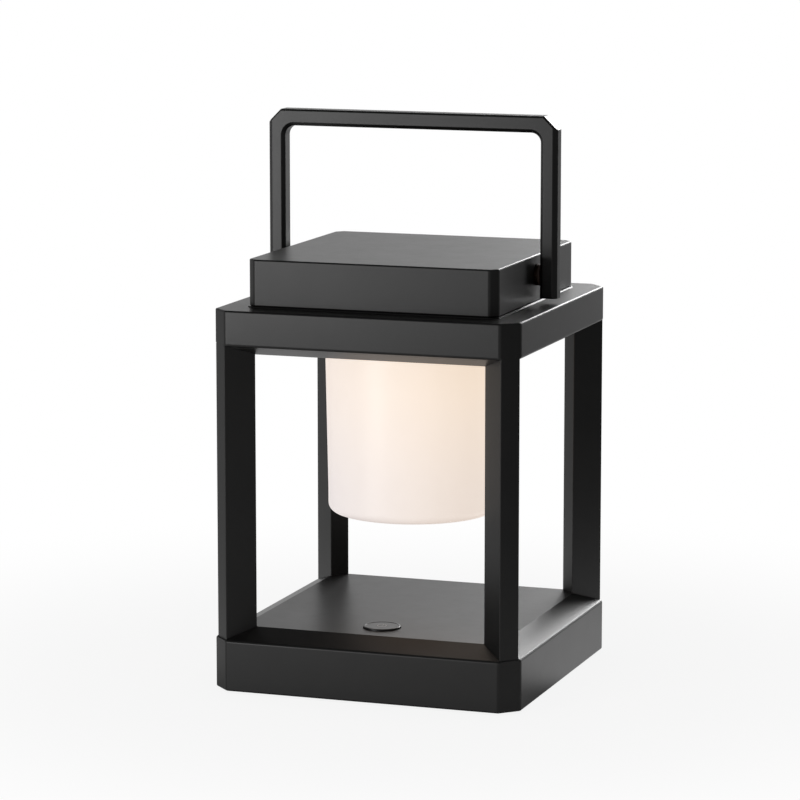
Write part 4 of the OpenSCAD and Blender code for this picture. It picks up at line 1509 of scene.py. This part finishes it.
@dataclass
class Panel:
    """A flat panel that stands round the lamp and faces it, with its sizes in metres.

    The azimuth runs from the front to the right, and both angles are in degrees.
    """

    name: str
    azimuth: float
    elevation: float
    width: float
    height: float
    distance: float
    aim: float

    def stand(self) -> tuple[Vector, Vector]:
        """The panel's place, and the direction to it from the point that it faces."""
        a, e = math.radians(self.azimuth), math.radians(self.elevation)
        back = Vector((math.sin(a) * math.cos(e), -math.cos(a) * math.cos(e), math.sin(e)))
        return UP * self.aim + back * self.distance, back


@dataclass
class Lamp(Panel):
    """A soft lamp that the camera doesn't see."""

    distance: float = 1.5
    aim: float = 0.12
    power: float = 5.0
    diffuse: bool = False

    def add(self) -> None:
        """Hangs the lamp."""
        place, back = self.stand()
        select_none()
        bpy.ops.object.light_add(type="AREA", location=place)
        lamp = bpy.context.object
        lamp.name = self.name
        turn_from(lamp, back)
        lamp.data.shape = "RECTANGLE"
        lamp.data.size, lamp.data.size_y = self.width, self.height
        lamp.data.energy, lamp.data.color = self.power, WHITE[:3]
        lamp.visible_camera = False
        lamp.visible_diffuse = self.diffuse


@dataclass
class Flag(Panel):
    """A dim card that only reflections see."""

    distance: float = 0.26
    aim: float = 0.1

    def add(self) -> None:
        """Stands the card up."""
        place, back = self.stand()
        select_none()
        bpy.ops.mesh.primitive_plane_add(size=1, location=place)
        card = bpy.context.object
        card.name = card.data.name = self.name
        turn_from(card, back)
        card.scale = (self.width, self.height, 1)
        card.visible_camera = card.visible_diffuse = card.visible_shadow = False
        card.data.materials.append(StudioCard("studio_flag").material())


@dataclass
class Studio:
    """A plain white studio: floor, world, four soft lamps and a dark flag at the right."""

    floor: float = 12.0
    soft: float = 0.45
    behind: float = 1.05
    around: float = 0.3
    over: float = 0.08
    panels: list[Lamp | Flag] = field(
        default_factory=lambda: [
            Lamp("front_left", azimuth=-30, elevation=3, width=0.35, height=0.3, power=5.6, diffuse=True),
            Lamp("back_right", azimuth=142, elevation=15, width=0.35, height=0.5, power=4.6),
            Lamp("back", azimuth=174, elevation=20, width=0.8, height=0.35, power=10.0),
            Lamp("back_high", azimuth=170, elevation=32, width=0.6, height=0.3, power=5.0),
            Flag("flag_right", azimuth=104, elevation=6, width=0.7, height=0.5),
        ]
    )

    def build(self) -> None:
        """Sets up the view, the world, the floor, the lamps and the flag."""
        bpy.context.scene.view_settings.view_transform = "Standard"
        self.world()
        self.ground()
        for panel in self.panels:
            panel.add()

    def world(self) -> None:
        """White to the camera and through glass, a backdrop to reflections, and soft as light."""
        scene = bpy.context.scene
        scene.world = bpy.data.worlds.new("studio_white")
        scene.world.use_nodes = True
        graph = Graph(scene.world.node_tree)
        sky = graph.add("ShaderNodeTexCoord", output="Generated")
        low = 1 - graph.part(sky, "Z").ramp(0.2, 0.5)
        backdrop = graph.part(sky, "Y").ramp(0.2, 0.95) * low * self.behind
        level = low * (self.around - self.over) + self.over
        seen = graph.ray("Camera").most(graph.ray("Transmission"))
        strength = seen + graph.ray("Glossy") * backdrop.most(level) + graph.ray("Diffuse") * self.soft
        white = graph.add("ShaderNodeBackground", sockets={"Color": WHITE, "Strength": strength})
        graph.add("ShaderNodeOutputWorld", sockets={"Surface": white})

    def ground(self) -> None:
        """The pale floor, which keeps the lamp's shadow."""
        select_none()
        bpy.ops.mesh.primitive_plane_add(size=self.floor, location=(0, 0, 0))
        floor = bpy.context.object
        floor.name = floor.data.name = "studio_floor"
        floor.data.materials.append(StudioPaper("studio_floor_paper").material())


@dataclass
class Viewpoint:
    """The camera at the photograph's viewing angle."""

    azimuth: float = 19.2129
    elevation: float = 9.2605
    lens: float = 166.38
    sensor: float = 36.0
    aim: Point = (0, 0, 127)
    shift: Point = (-6.05, -3.39, 1655.4)
    clip_near: float = 0.05
    clip_far: float = 50

    def add(self) -> None:
        """Places the camera from its shift along its own right, up and back directions."""
        a, e = math.radians(self.azimuth), math.radians(self.elevation)
        right = Vector((math.cos(a), math.sin(a), 0))
        up = Vector((-math.sin(e) * math.sin(a), math.sin(e) * math.cos(a), math.cos(e)))
        back = right.cross(up)
        across, rise, away = self.shift
        select_none()
        place = Vector(self.aim) + right * across + up * rise + back * away
        bpy.ops.object.camera_add(location=place * MM)
        camera = bpy.context.object
        camera.name = "photo_camera"
        camera.rotation_mode = "QUATERNION"
        camera.rotation_quaternion = Matrix((right, up, back)).transposed().to_quaternion()
        camera.data.lens, camera.data.sensor_width = self.lens, self.sensor
        camera.data.clip_start, camera.data.clip_end = self.clip_near, self.clip_far
        bpy.context.scene.camera = camera


def main() -> None:
    """Builds the lamp's pieces, the studio and the camera."""
    logging.basicConfig(level=logging.INFO, format="%(name)s: %(message)s")
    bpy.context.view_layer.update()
    for part in (Base(), Posts(), Roof(), Cap(), Bail(), Shade(), PushButton()):
        log.info("building %s", type(part).__name__)
        part.build()
    Inside().dress()
    Studio().build()
    Viewpoint().add()
    log.info("all pieces built")


if __name__ == "__main__":
    main()
